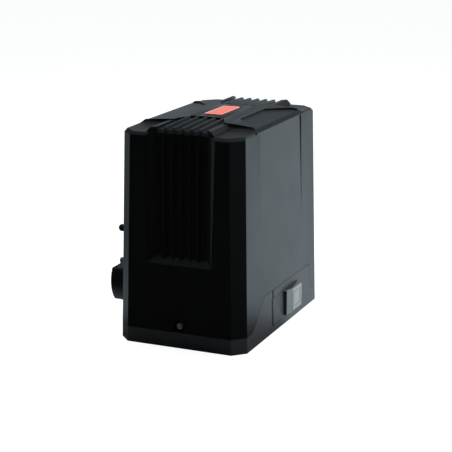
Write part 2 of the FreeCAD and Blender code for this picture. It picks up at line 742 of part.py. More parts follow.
def make_cover():
    """Moulded cover: drafted shell, roof forms, ribbed ends, notches and openings."""
    body = new_body("cover")
    bottom = "rim_top + seam_gap"
    blend("Additive", body, "z", [
        (bottom, octagon(half_x(bottom), half_y(bottom))),
        ("shoulder_z", octagon(half_x("shoulder_z"), half_y("shoulder_z"))),
    ])
    blend("Additive", body, "z", [
        ("shoulder_z", octagon(half_x("shoulder_z"), half_y("shoulder_z"))),
        ("shoulder_z + bevel_rise", octagon(half_x("shoulder_z", "bevel_in_x"),
                                            half_y("shoulder_z", "bevel_in_y"))),
    ])
    cover_roof(body)
    # hollow inside, first the tall space and then the space under the plateau
    blend("Subtractive", body, "z", [
        (bottom, octagon(half_x(bottom, "shell_wall"), half_y(bottom, "shell_wall"))),
        ("ceiling_z", octagon(half_x("ceiling_z", "shell_wall"),
                              half_y("ceiling_z", "shell_wall"))),
    ])
    cut(body, "z", rectangle("-plateau_half_x + 18", "-rib_zone_back_y + 4",
                             "plateau_half_x - 18", "rib_zone_back_y - 4"),
        "ceiling_z - 1", "rib_floor_z - 1.5")
    # inner skins behind the recesses and behind the screw notches
    skin = [
        ("-recess_half - shell_wall", "-recess_depth - shell_wall"),
        ("-recess_half - shell_wall - recess_depth", "-1.5"),
        ("recess_half + shell_wall + recess_depth", "-1.5"),
        ("recess_half + shell_wall", "-recess_depth - shell_wall"),
    ]
    feature = pad(body, "z", skin, "ledge_z - 12", "ceiling_z + 1",
                  turn=("u", "draft"), at=("0", half_y("ledge_z"), "0"))
    mirror(body, [feature], "XZ_Plane")
    boss = [("-notch_half_bottom - 2", bottom), ("-notch_half_top - 4", "notch_top_z + 3"),
            ("notch_half_top + 4", "notch_top_z + 3"), ("notch_half_bottom + 2", bottom)]
    feature = pad(body, "y", boss, half_y("end_screw_z", "notch_depth + shell_wall"),
                  half_y("notch_top_z", "1"))
    mirror(body, [feature], "XZ_Plane")
    cover_ribs(body)
    first = "-rib_pitch * (rib_count - 1) / 2"
    ribs = []
    for sign in ("-", ""):
        low, high = rib_section("-0.4", sign), rib_section("rib_rise", sign)
        ribs.append(blend("Additive", body, "x", [
            (f"{first} - rib_foot_half", low), (f"{first} - rib_top_half", high),
            (f"{first} + rib_top_half", high), (f"{first} + rib_foot_half", low),
        ]))
    row = sketch_on(body, "z")
    along_x(body, ribs, row, "rib_pitch * (rib_count - 1)", "rib_count")
    notch = [
        ("-notch_half_bottom", "rim_top - 1"), ("-notch_half_top - 4", "end_screw_z + 1"),
        ("-notch_half_top - 2.6", "notch_top_z - 2"), ("-notch_half_top", "notch_top_z"),
        ("notch_half_top", "notch_top_z"), ("notch_half_top + 2.6", "notch_top_z - 2"),
        ("notch_half_top + 4", "end_screw_z + 1"), ("notch_half_bottom", "rim_top - 1"),
    ]
    feature = cut(body, "y", notch, half_y("end_screw_z", "notch_depth"), "foot_half_y + 5")
    mirror(body, [feature], "XZ_Plane")
    cut(body, "y", (("0", "end_screw_z", "end_screw_r + 0.3"),), "-foot_half_y", "foot_half_y")
    # relief on the user side, cut-out for the base panel
    relief = [
        (half_x("relief_bottom_z"), "relief_bottom_z"),
        (half_x("relief_top_z", "relief_depth"), "relief_top_z"),
        ("foot_half_x + 4", "relief_top_z"), ("foot_half_x + 4", "relief_bottom_z"),
    ]
    cut(body, "y", relief, "-relief_half_y", "relief_half_y")
    panel = [
        ("-126 - panel_gap", "rim_top - 1"), ("-107 - panel_gap", "rim_top + 1.4 + panel_gap"),
        ("-94.5 - panel_gap", "32 + panel_gap * 0.5"),
        ("-67 - panel_gap * 0.6", "panel_top_z + panel_gap"),
        ("102 + panel_gap", "panel_top_z + panel_gap"),
        ("110 + panel_gap", "rim_top + 2.1 + panel_gap"),
        ("125 + panel_gap", "rim_top - 1"),
    ]
    cut(body, "x", panel, "spine_half", "foot_half_x + 5")
    # mouth for the pinion and window for the limit lever on the gate side
    mouth = [
        ("shaft_y - mouth_half_y", "rim_top - 1"),
        ("shaft_y - mouth_half_y", "mouth_top_z - mouth_chamfer"),
        ("shaft_y - mouth_half_y + mouth_chamfer", "mouth_top_z"),
        ("shaft_y + mouth_half_y - mouth_chamfer", "mouth_top_z"),
        ("shaft_y + mouth_half_y", "mouth_top_z - mouth_chamfer"),
        ("shaft_y + mouth_half_y", "rim_top - 1"),
    ]
    cut(body, "x", mouth, "-foot_half_x - 5", "gear_joint_x")
    window = rectangle("lever_y - lever_window_half_y", "lever_z - lever_window_half_z",
                       "lever_y + lever_window_half_y", "lever_z + lever_window_half_z")
    cut(body, "x", window, "-foot_half_x - 5", "gear_joint_x")
    seat = rectangle("-badge_x / 2 - badge_gap", "-badge_y / 2 - badge_gap",
                     "badge_x / 2 + badge_gap", "badge_y / 2 + badge_gap")
    cut(body, "z", seat, "badge_seat_z", "plateau_edge_z + crown + 5")
    badge = new_body("badge")
    plate = rectangle("-badge_x / 2", "-badge_y / 2", "badge_x / 2", "badge_y / 2")
    pad(badge, "z", plate, "badge_seat_z", "badge_seat_z + badge_thick")


GEARBOX_FEET = [("-52", "gear_left_y + 9"), ("-10", "gear_left_y + 9"),
                ("-52", "gear_right_y - 9"), ("-10", "gear_right_y - 9")]


def casting_outline(inset="0"):
    """Outline of the gearbox casting seen along the output shaft."""
    low, high = f"gear_left_y + {inset}", f"gear_right_y - {inset}"
    base, top = f"floor_thick + {inset}", f"gear_top_z - {inset}"
    return [
        (low, base), (high, base), (high, f"{top} - 4"), (f"{high} - 4", top),
        (f"{low} + gear_cut", top), (low, f"{top} - gear_cut"),
    ]


def make_gearbox():
    """Casting round the worm wheel, its cover, and their screws."""
    body = new_body("gearbox_housing")
    pad(body, "x", casting_outline(), "gear_joint_x", "gear_inner_x")
    pad(body, "z", (("wheel_x", MOTOR_Y, "motor_flange_r"),), "gear_top_z - 2",
        "motor_flange_top")
    bored(body, "x", [
        ("gear_joint_x - 1", "0"), ("gear_joint_x - 1", "gear_cavity_r"),
        ("bearing_b_x - 3", "gear_cavity_r"), ("bearing_b_x - 3", "bearing_b_r - 3"),
        ("bearing_b_x", "bearing_b_r - 3"), ("bearing_b_x", "bearing_b_r"),
        ("bearing_b_x + bearing_b_width", "bearing_b_r"),
        ("bearing_b_x + bearing_b_width", "rod_r + 0.05"),
        ("gear_inner_x + 1", "rod_r + 0.05"), ("gear_inner_x + 1", "0"),
    ], SHAFT_LINE)
    bored(body, "z", [
        ("0", "12"), ("12", "12"), ("12", "22"), ("11", "22"), ("11", "82"),
        ("16", "82"), ("16", "motor_flange_top + 1"), ("0", "motor_flange_top + 1"),
    ], MOTOR_LINE)
    feet = tuple((x, y, "2.6") for x, y in GEARBOX_FEET)
    cut(body, "z", feet, "floor_thick - 1", "floor_thick + 14")
    for offset in ("-motor_bolt_circle", "motor_bolt_circle"):
        cut(body, "z", (("wheel_x", f"{MOTOR_Y} + {offset}", "motor_bolt_r"),),
            "gear_top_z + 1", "motor_flange_top + 1")
    lid = new_body("gearbox_cover")
    pad(lid, "x", casting_outline("2"), "gear_joint_x - gear_flange", "gear_joint_x")
    turned(lid, "x", [
        ("gear_face_x", "0"), ("gear_face_x", "28"), ("gear_joint_x - gear_flange", "31"),
        ("gear_joint_x - 0.5", "31"), ("gear_joint_x - 0.5", "0"),
    ], SHAFT_LINE)
    for side in ("-", "+"):
        place = f"shaft_y {side} guard_screw_y"
        arm = rectangle(f"shaft_y {side} (guard_screw_y - 2)", "guard_screw_z - 5",
                        f"shaft_y {side} 26", "guard_screw_z + 5")
        pad(lid, "x", ((place, "guard_screw_z", "6.5"),), "gear_face_x",
            "gear_joint_x - 0.5")
        pad(lid, "x", arm, "gear_face_x + 4", "gear_joint_x - 1")
        cut(lid, "x", ((place, "guard_screw_z", "2.05"),), "gear_face_x - 1",
            "gear_face_x + 14")
    bored(lid, "x", [
        ("gear_face_x - 1", "0"), ("gear_face_x - 1", "16"),
        ("gear_face_x + 7.2", "16"), ("gear_face_x + 7.2", "bearing_a_r - 4"),
        ("bearing_a_x", "bearing_a_r - 4"), ("bearing_a_x", "bearing_a_r"),
        ("gear_joint_x + 1", "bearing_a_r"), ("gear_joint_x + 1", "0"),
    ], SHAFT_LINE)
    corners = [("gear_left_y + 8", "floor_thick + 8"), ("gear_right_y - 8", "floor_thick + 8"),
               ("gear_right_y - 8", "gear_top_z - 9"), ("gear_left_y + 11", "gear_top_z - 17")]
    cut(lid, "x", tuple((y, z, "2.2") for y, z in corners), "gear_face_x", "gear_joint_x + 1")
    cut(body, "x", tuple((y, z, "2.05") for y, z in corners), "gear_joint_x - 1",
        "gear_joint_x + 13")
    screws("gearbox_cover_screws", "-x",
           [("gear_joint_x - gear_flange", y, z) for y, z in corners],
           "3.8", "4", "2", "16", "1.7")
    screws("gearbox_foot_screws", "-z", [(x, y, "4") for x, y in GEARBOX_FEET],
           "5.5", "3.6", "2.5", "15", "2.3")


def make_bearings():
    """Bearings and the shaft seal."""
    bearing("output_bearing", "x", SHAFT_LINE, "bearing_a_x", "bearing_a_width",
            "shaft_r", "bearing_a_r")
    bearing("inner_bearing", "x", SHAFT_LINE, "bearing_b_x", "bearing_b_width",
            "shaft_r", "bearing_b_r")
    bearing("worm_bearing", "z", MOTOR_LINE, "12.5", "8", "5", "12")
    bearing("motor_bearing", "z", MOTOR_LINE, "84", "11", "7", "16")
    bearing("rotor_bearing", "z", MOTOR_LINE, "shield_top_z - 13", "8", "5", "12")
    seal = new_body("shaft_seal")
    turned(seal, "x", [
        ("gear_face_x + 0.2", "12"), ("gear_face_x + 0.2", "16"), ("gear_face_x + 7.2", "16"),
        ("gear_face_x + 7.2", "14.5"), ("gear_face_x + 2.5", "14.5"),
        ("gear_face_x + 2.5", "12"), ("gear_face_x + 4.5", "shaft_r + run_gap"),
        ("gear_face_x + 1.2", "shaft_r + run_gap"),
    ], SHAFT_LINE)


def gap_outline(pitch_r, tip_r, root_r, half_gap, pressure="0.42"):
    """Tooth space: narrow at the root, wide at the tip, with flanks in two slopes."""
    steps = [(root_r, "0.55"), (pitch_r, "1"), (f"({tip_r}) + 0.6", "1.28")]
    left, right = [], []
    for radius, share in steps:
        half = f"({half_gap}) * {share} + (({radius}) - ({pitch_r})) * {pressure} * 0.62"
        left.append((f"-({half})", radius))
        right.append((half, radius))
    return left + right[::-1]


def make_output():
    """Output shaft, pinion, worm wheel, key and retaining screw."""
    shaft = new_body("output_shaft")
    end = "pinion_end_x"
    turned(shaft, "x", [
        (end, "0"), (end, "shaft_r - 1"), (f"{end} + 1", "shaft_r"),
        ("bearing_b_x + bearing_b_width - 0.5", "shaft_r"),
        ("bearing_b_x + bearing_b_width - 0.5", "rod_r + 0.5"),
        (f"{PIN_X} - 10", "rod_r + 0.5"),
        (f"{PIN_X} - 10", "0"),
    ], SHAFT_LINE)
    keyway = rectangle("shaft_y - 3", "shaft_z + shaft_r - 3.5", "shaft_y + 3",
                       "shaft_z + shaft_r + 1")
    cut(shaft, "x", keyway, f"{end} + 3", f"{end} + pinion_width - 3")
    pin_slot = rectangle(f"{PIN_X} - release_travel - 3.2", "shaft_z - 3",
                         f"{PIN_X} + 3.2", "shaft_z + 3")
    cut(shaft, "y", pin_slot, "shaft_y - shaft_r - 1", "shaft_y + shaft_r + 1")
    cut(shaft, "x", (("shaft_y", "shaft_z", "2.55"),), f"{end} - 1", f"{end} + 14")
    key = new_body("pinion_key")
    pad(key, "x", rectangle("shaft_y - 3", "shaft_z + shaft_r - 3.5", "shaft_y + 3",
                            "shaft_z + shaft_r + 2.4"),
        f"{end} + 3", f"{end} + pinion_width - 3")

    pinion = new_body("pinion")
    tip_r = "pinion_module * (pinion_teeth / 2 + 1)"
    pitch_r = "pinion_module * pinion_teeth / 2"
    root_r = "pinion_module * (pinion_teeth / 2 - 1.2)"
    finish = f"{end} + pinion_width"
    turned(pinion, "x", [
        (end, "shaft_r + run_gap"), (end, f"{tip_r} - 1"), (f"{end} + 1", tip_r),
        (f"{finish} - 1", tip_r), (finish, f"{tip_r} - 1"), (finish, "shaft_r + 6"),
        (f"{finish} + 8", "shaft_r + 6"), (f"{finish} + 8", "shaft_r + run_gap"),
    ], SHAFT_LINE)
    doc.recompute()
    space = cut(pinion, "x", gap_outline(pitch_r, tip_r, root_r, "pinion_module * 0.80"),
                f"{end} - 1", finish, at=SHAFT_LINE)
    around(pinion, [space], space.Profile[0], "pinion_teeth")
    cut(pinion, "x", rectangle("shaft_y - 3.05", "shaft_z", "shaft_y + 3.05",
                               "shaft_z + shaft_r + 2.6"),
        f"{end} - 1", f"{finish} + 9")
    screw = new_body("pinion_screw")
    turned(screw, "x", [
        (f"{end} - 3.2", "0"), (f"{end} - 3.2", "4.4"), (f"{end} - 2.8", "4.8"),
        (f"{end} - 1.8", "4.8"), (f"{end} - 1.8", "12"), (f"{end} - 0.05", "12"),
        (f"{end} - 0.05", "2.5"), (f"{end} + 13", "2.5"), (f"{end} + 13", "0"),
    ], SHAFT_LINE)

    wheel = new_body("worm_wheel")
    wheel_pitch = "worm_module * wheel_teeth / 2"
    start = "wheel_x - wheel_width / 2"
    stop = "wheel_x + wheel_width / 2"
    turned(wheel, "x", [
        (start, "shaft_r + run_gap"), (start, "hub_r + 4"), (f"{start} + 3", "hub_r + 5"),
        (f"{start} + 3", f"{wheel_pitch} - 6"), (start, f"{wheel_pitch} - 5"),
        (start, f"{wheel_pitch} + 1.2"), (stop, f"{wheel_pitch} + 1.2"),
        (stop, f"{wheel_pitch} - 5"), (f"{stop} - 3", f"{wheel_pitch} - 6"),
        (f"{stop} - 3", "hub_r"), ("hub_end_x", "hub_r"), ("hub_end_x", "shaft_r + run_gap"),
    ], SHAFT_LINE)
    doc.recompute()
    tilt = "-atan(worm_module / (2 * worm_pitch_r))"
    space = cut(wheel, "x", gap_outline(wheel_pitch, f"{wheel_pitch} + 1.2",
                                        f"{wheel_pitch} - 2.6", "worm_module * 1.02"),
                "wheel_x", "wheel_x + wheel_width + 6", at=SHAFT_LINE, turn=("v", tilt))
    space.SideType = "Symmetric"
    around(wheel, [space], sketch_on(wheel, "x", SHAFT_LINE), "wheel_teeth")
    dogs = new_dogs(wheel, f"{start} - dog_height", f"{start} + 0.5", "0")
    around(wheel, [dogs], sketch_on(wheel, "x", SHAFT_LINE), "3")

    sleeve = new_body("clutch_sleeve")
    face = f"{start} - dog_height - 0.5"
    back = f"{start} - dog_height - sleeve_length"
    turned(sleeve, "x", [
        (back, "shaft_r + run_gap"), (back, "17"), (f"{back} + 3", "17"), (f"{back} + 3", "14.5"),
        (f"{back} + 6", "14.5"), (f"{back} + 6", "dog_outer_r"), (face, "dog_outer_r"),
        (face, "shaft_r + run_gap"),
    ], SHAFT_LINE)
    dogs = new_dogs(sleeve, f"{face} - 0.5", f"{start} - 0.4", "60")
    around(sleeve, [dogs], sketch_on(sleeve, "x", SHAFT_LINE), "3")
    hole = ((PIN_X, "shaft_z", "2.5"),)
    cut(sleeve, "y", hole, "shaft_y - 18", "shaft_y + 18")
    node("clutch_pin", rod("clutch_pin_rod", "y", "2.48", "29",
                           (PIN_X, "shaft_y - 14.5", "shaft_z")))


def new_dogs(body, start, stop, phase):
    """One claw of the dog clutch, a sector between two radii."""
    doc.recompute()
    middle = f"({phase})"
    first, last = f"{middle} - dog_angle / 2", f"{middle} + dog_angle / 2"
    claw = [
        (f"dog_inner_r * cos({first})", f"dog_inner_r * sin({first})"),
        (f"dog_outer_r * cos({first})", f"dog_outer_r * sin({first})", "dog_outer_r", -1),
        (f"dog_outer_r * cos({last})", f"dog_outer_r * sin({last})"),
        (f"dog_inner_r * cos({last})", f"dog_inner_r * sin({last})", "dog_inner_r", 1),
    ]
    return pad(body, "x", claw, start, stop, at=SHAFT_LINE)


def make_motor():
    """Vertical motor: shields, laminated core, windings, rotor and the worm on its shaft."""
    lower = new_body("motor_lower_shield")
    turned(lower, "z", [
        ("15.8", "motor_flange_top"), ("motor_r", "motor_flange_top"),
        ("motor_r", "core_bottom_z"), ("motor_r - 3.5", "core_bottom_z"),
        ("motor_r - 5", "motor_flange_top + 5"), ("9", "motor_flange_top + 5"),
        ("9", "96"), ("15.8", "96"),
    ], MOTOR_LINE)
    upper = new_body("motor_upper_shield")
    turned(upper, "z", [
        ("motor_r", "core_top_z"), ("motor_r", "shield_top_z - 5"),
        ("motor_r - 4", "shield_top_z"), ("18", "shield_top_z"), ("15", "shield_top_z + 3"),
        ("0", "shield_top_z + 3"), ("0", "shield_top_z - 3"), ("8", "shield_top_z - 3"),
        ("8", "shield_top_z - 5"), ("12", "shield_top_z - 5"), ("12", "shield_top_z - 13"),
        ("15", "shield_top_z - 13"), ("16", "shield_top_z - 5"),
        ("motor_r - 6", "shield_top_z - 5"), ("motor_r - 3.5", "core_top_z"),
    ], MOTOR_LINE)
    core = new_body("stator_core")
    turned(core, "z", [
        ("stator_bore_r", "core_bottom_z"), ("motor_r - 1", "core_bottom_z"),
        ("motor_r - 1", "core_top_z"), ("stator_bore_r", "core_top_z"),
    ], MOTOR_LINE)
    windings = [
        rod("winding_low", "z", "36", "9", ("wheel_x", MOTOR_Y, "core_bottom_z - 9")),
        rod("winding_low_bore", "z", "25", "11", ("wheel_x", MOTOR_Y, "core_bottom_z - 10")),
        rod("winding_high", "z", "36", "9", ("wheel_x", MOTOR_Y, "core_top_z")),
        rod("winding_high_bore", "z", "25", "11", ("wheel_x", MOTOR_Y, "core_top_z - 1")),
    ]
    node("stator_windings", group("windings_set", [
        without("winding_lower", windings[0], windings[1]),
        without("winding_upper", windings[2], windings[3])]))
    rotor = new_body("rotor_core")
    turned(rotor, "z", [
        ("motor_shaft_r", "core_bottom_z"), ("stator_bore_r - air_gap", "core_bottom_z"),
        ("stator_bore_r - air_gap", "core_top_z"), ("motor_shaft_r", "core_top_z"),
    ], MOTOR_LINE)
    worm = new_body("worm_shaft")
    turned(worm, "z", [
        ("0", "12.6"), ("5", "12.6"), ("5", "20.5"), ("6", "21"), ("6", "79"), ("9", "80.5"),
        ("9", "84"), ("7", "84"), ("7", "100"), ("motor_shaft_r", "101"),
        ("motor_shaft_r", "shield_top_z - 13"), ("5", "shield_top_z - 13"),
        ("5", "shield_top_z - 5"), ("0", "shield_top_z - 5"),
    ], MOTOR_LINE)
    middle = f"shaft_z - 2.25 * {WORM_PITCH}"
    thread = sketch_on(worm, "y", MOTOR_LINE)
    outline(thread, [
        ("5.7", f"{middle} - 1.9"), ("worm_pitch_r + 1.5", f"{middle} - 0.55"),
        ("worm_pitch_r + 1.5", f"{middle} + 0.55"), ("5.7", f"{middle} + 1.9"),
    ])
    helix = worm.newObject("PartDesign::AdditiveHelix", "worm_thread")
    helix.Profile = thread
    helix.ReferenceAxis = (thread, ["V_Axis"])
    helix.Mode = 0
    helix.setExpression("Pitch", bound(WORM_PITCH))
    helix.setExpression("Height", bound(f"4 * {WORM_PITCH}"))
    places = [("wheel_x", f"{MOTOR_Y} + {offset}", "shield_top_z")
              for offset in ("-motor_bolt_circle", "motor_bolt_circle")]
    for item, low, high in ((lower, "motor_flange_top - 1", "core_bottom_z + 1"),
                            (core, "core_bottom_z - 1", "core_top_z + 1"),
                            (upper, "core_top_z - 1", "shield_top_z + 1")):
        cut(item, "z", tuple((x, y, "motor_bolt_r") for x, y, z in places), low, high)
    screws("motor_bolts", "z", places, "4", "4", "motor_bolt_r - 0.1",
           "shield_top_z - gear_top_z - 2", "1.8")


def make_guard():
    """Shroud round both sides of the pinion, open above for the rack."""
    body = new_body("pinion_guard")
    turned(body, "x", [
        ("guard_end_x", "0"), ("guard_end_x", "guard_r - 1"), ("guard_end_x + 1", "guard_r"),
        ("gear_face_x", "guard_r"), ("gear_face_x", "guard_r - guard_wall"),
        ("guard_end_x + guard_wall * 0.6", "guard_r - guard_wall"),
        ("guard_end_x + guard_wall * 0.6", "0"),
    ], SHAFT_LINE)
    for side in ("-", "+"):
        pad(body, "x", ((f"shaft_y {side} guard_screw_y", "guard_screw_z", "6.5"),),
            "gear_face_x - 2.5", "gear_face_x")
    reach = "(guard_r + 20)"
    cut(body, "x", rectangle(f"shaft_y - {reach}", "guard_top_z", f"shaft_y + {reach}",
                             f"guard_top_z + {reach}"), "guard_end_x - 1", "gear_face_x + 1")
    cut(body, "x", rectangle(f"shaft_y - {reach}", f"guard_bottom_z - {reach}",
                             f"shaft_y + {reach}", "guard_bottom_z"),
        "guard_end_x - 1", "gear_face_x + 1")
    places = []
    for side in ("-", "+"):
        place = f"shaft_y {side} guard_screw_y"
        cut(body, "x", ((place, "guard_screw_z", "2.2"),), "gear_face_x - 4", "gear_face_x + 1")
        places.append(("gear_face_x - 2.5", place, "guard_screw_z"))
    screws("guard_screws", "-x", places, "3.6", "3", "2", "14", "1.6")


def make_limit_switch():
    """Bracket, switch body and the sprung lever that the gate stops strike."""
    bracket = new_body("switch_bracket")
    pad(bracket, "z", rectangle("gear_joint_x", "gear_left_y + gear_cut + 1", "-46", "-38"),
        "gear_top_z", "gear_top_z + 2.5")
    pad(bracket, "y", rectangle("lever_x - 5", "gear_top_z", "-54", "lever_z + 11"),
        "lever_y - 18.5", "lever_y - 16")
    body = new_body("limit_switch_body")
    pad(body, "z", rectangle("lever_x - 5.5", "lever_y - 16", "lever_x + 11", "lever_y + 9"),
        "lever_z - 11", "lever_z + 11")
    cut(body, "z", rectangle("lever_x - 7", "lever_y - 11", "lever_x + 6", "lever_y + 10"),
        "lever_z - 4.3", "lever_z + 4.3")
    cut(body, "z", (("lever_x", "lever_y", "1.52"),), "lever_z - 9", "lever_z + 12")
    node("lever_pin", rod("lever_pin_rod", "z", "1.5", "20",
                          ("lever_x", "lever_y", "lever_z - 9")))
    lever = new_body("limit_lever")
    neck = "lever_x - lever_reach + sqrt(lever_ball_r ^ 2 - lever_r ^ 2)"
    turned(lever, "x", [
        ("lever_x - lever_reach - lever_ball_r", "0", "lever_ball_r", 1),
        (neck, "lever_r"), ("lever_x", "lever_r"), ("lever_x", "0"),
    ], ("0", "lever_y", "lever_z"))
    pad(lever, "z", (("lever_x", "lever_y", "4.6"),), "lever_z - 4", "lever_z + 4")
    cut(lever, "z", (("lever_x", "lever_y", "1.56"),), "lever_z - 5", "lever_z + 5")
    spring = new_body("lever_spring")
    coils = [("lever_x - 34", "lever_r + 0.05")]
    for turn in range(8):
        place = f"lever_x - 34 + {turn} * 2.8"
        coils += [(place, "lever_r + 0.9"), (f"{place} + 1.1", "lever_r + 2.1"),
                  (f"{place} + 1.7", "lever_r + 2.1")]
    coils += [("lever_x - 11.6", "lever_r + 0.9"), ("lever_x - 11.6", "lever_r + 0.05")]
    turned(spring, "x", coils, ("0", "lever_y", "lever_z"))


def make_release():
    """Door with its hinge pin, lock cap, key cylinder and the rod that frees the clutch."""
    door = new_body("release_door")
    back = half_x("door_top_z", "door_thick + 0.9")
    leaf = rectangle("hinge_y", "door_bottom_z", "door_end_y", "door_top_z")
    pad(door, "x", leaf, back, half_x("0"))
    pad(door, "z", (("hinge_x", "hinge_y", "knuckle_r"),), "door_bottom_z", "door_top_z")
    boss = [
        (back, "boss_left_y"), ("boss_left_x", "boss_left_y"), ("boss_face_x", "boss_ridge_y"),
        ("boss_face_x", "boss_right_y"), (back, "boss_right_y"),
    ]
    skim = [
        (half_x("0", "0.05"), "0"), (half_x("panel_top_z", "0.05"), "panel_top_z"),
        ("foot_half_x + 12", "panel_top_z"), ("foot_half_x + 12", "0"),
    ]
    cut(door, "y", skim, "hinge_y - 10", "door_end_y + 5")
    pad(door, "z", boss, "boss_bottom_z", "boss_top_z")
    pocket = rectangle("cap_left_y - 0.4", "cap_bottom_z - 0.4", "cap_right_y + 0.4",
                       "cap_top_z + cap_gap")
    cut(door, "x", pocket, "boss_face_x - cap_thick - 0.8 + cap_proud", "boss_face_x + 2")
    barrel_start = f"{back} - 4"
    pad(door, "x", (("lock_y", "lock_z", "lock_r + 2.5"),), barrel_start, f"{back} + 1")
    cut(door, "x", (("lock_y", "lock_z", "lock_r + 0.05"),), f"{barrel_start} - 1",
        "boss_face_x")
    cut(door, "z", (("hinge_x", "hinge_y", "hinge_pin_r + hinge_fit"),), "door_bottom_z - 1",
        "door_top_z + 1")
    lobe = [
        ("hinge_x - lobe_r", "hinge_y"), ("hinge_x - lobe_r", "hinge_y - lobe_length"),
        ("hinge_x + lobe_r - 3.8", "hinge_y - lobe_length"), ("hinge_x + lobe_r - 3.8", "hinge_y - 3"),
    ]
    pad(door, "z", lobe, "door_bottom_z + 20", "door_top_z - 3")
    node("hinge_pin", rod("hinge_pin_rod", "z", "hinge_pin_r", "panel_top_z - 7.5",
                          ("hinge_x", "hinge_y", "3.2")))
    cap = new_body("lock_cap")
    front = "boss_face_x + cap_proud"
    pad(cap, "x", rectangle("cap_left_y", "cap_bottom_z", "cap_right_y", "cap_top_z"),
        f"{front} - cap_thick", front)
    dish = rectangle("cap_left_y + 5", "cap_bottom_z + 5", "cap_right_y - 8", "cap_top_z - 7")
    cut(cap, "x", dish, f"{front} - 0.8", f"{front} + 1")
    cylinder = new_body("key_cylinder")
    tail = f"{back} - 4.3"
    nose = "boss_face_x + cap_proud - cap_thick - 0.6"
    turned(cylinder, "x", [
        (tail, "0"), (tail, "lock_r"), (nose, "lock_r"), (nose, "0"),
    ], ("0", "lock_y", "lock_z"))
    cut(cylinder, "x", rectangle("lock_y - 0.6", "lock_z - 3.5", "lock_y + 0.6", "lock_z + 3.5"),
        f"{nose} - 4", f"{nose} + 1")
    arm = rectangle("lock_y - 4", "lock_z - 4", "lock_y + 4", "lock_z + cam_length")
    pad(cylinder, "x", arm, f"{tail} - cam_thick", f"{tail} + 0.2")
    foot_x = "hinge_x - lobe_r - 3"
    tip = f"{PIN_X} + 2.6"
    shaft = rod("rod_shaft", "x", "rod_r", f"{foot_x} - ({tip})", (tip, "shaft_y", "shaft_z"))
    foot = block("rod_foot", (f"{foot_x} - 5", "hinge_y - 7", "door_bottom_z + 21"),
                 (foot_x, "shaft_y + 5", "shaft_z + 5"))
    node("release_rod", joined("release_rod_set", [shaft, foot]))


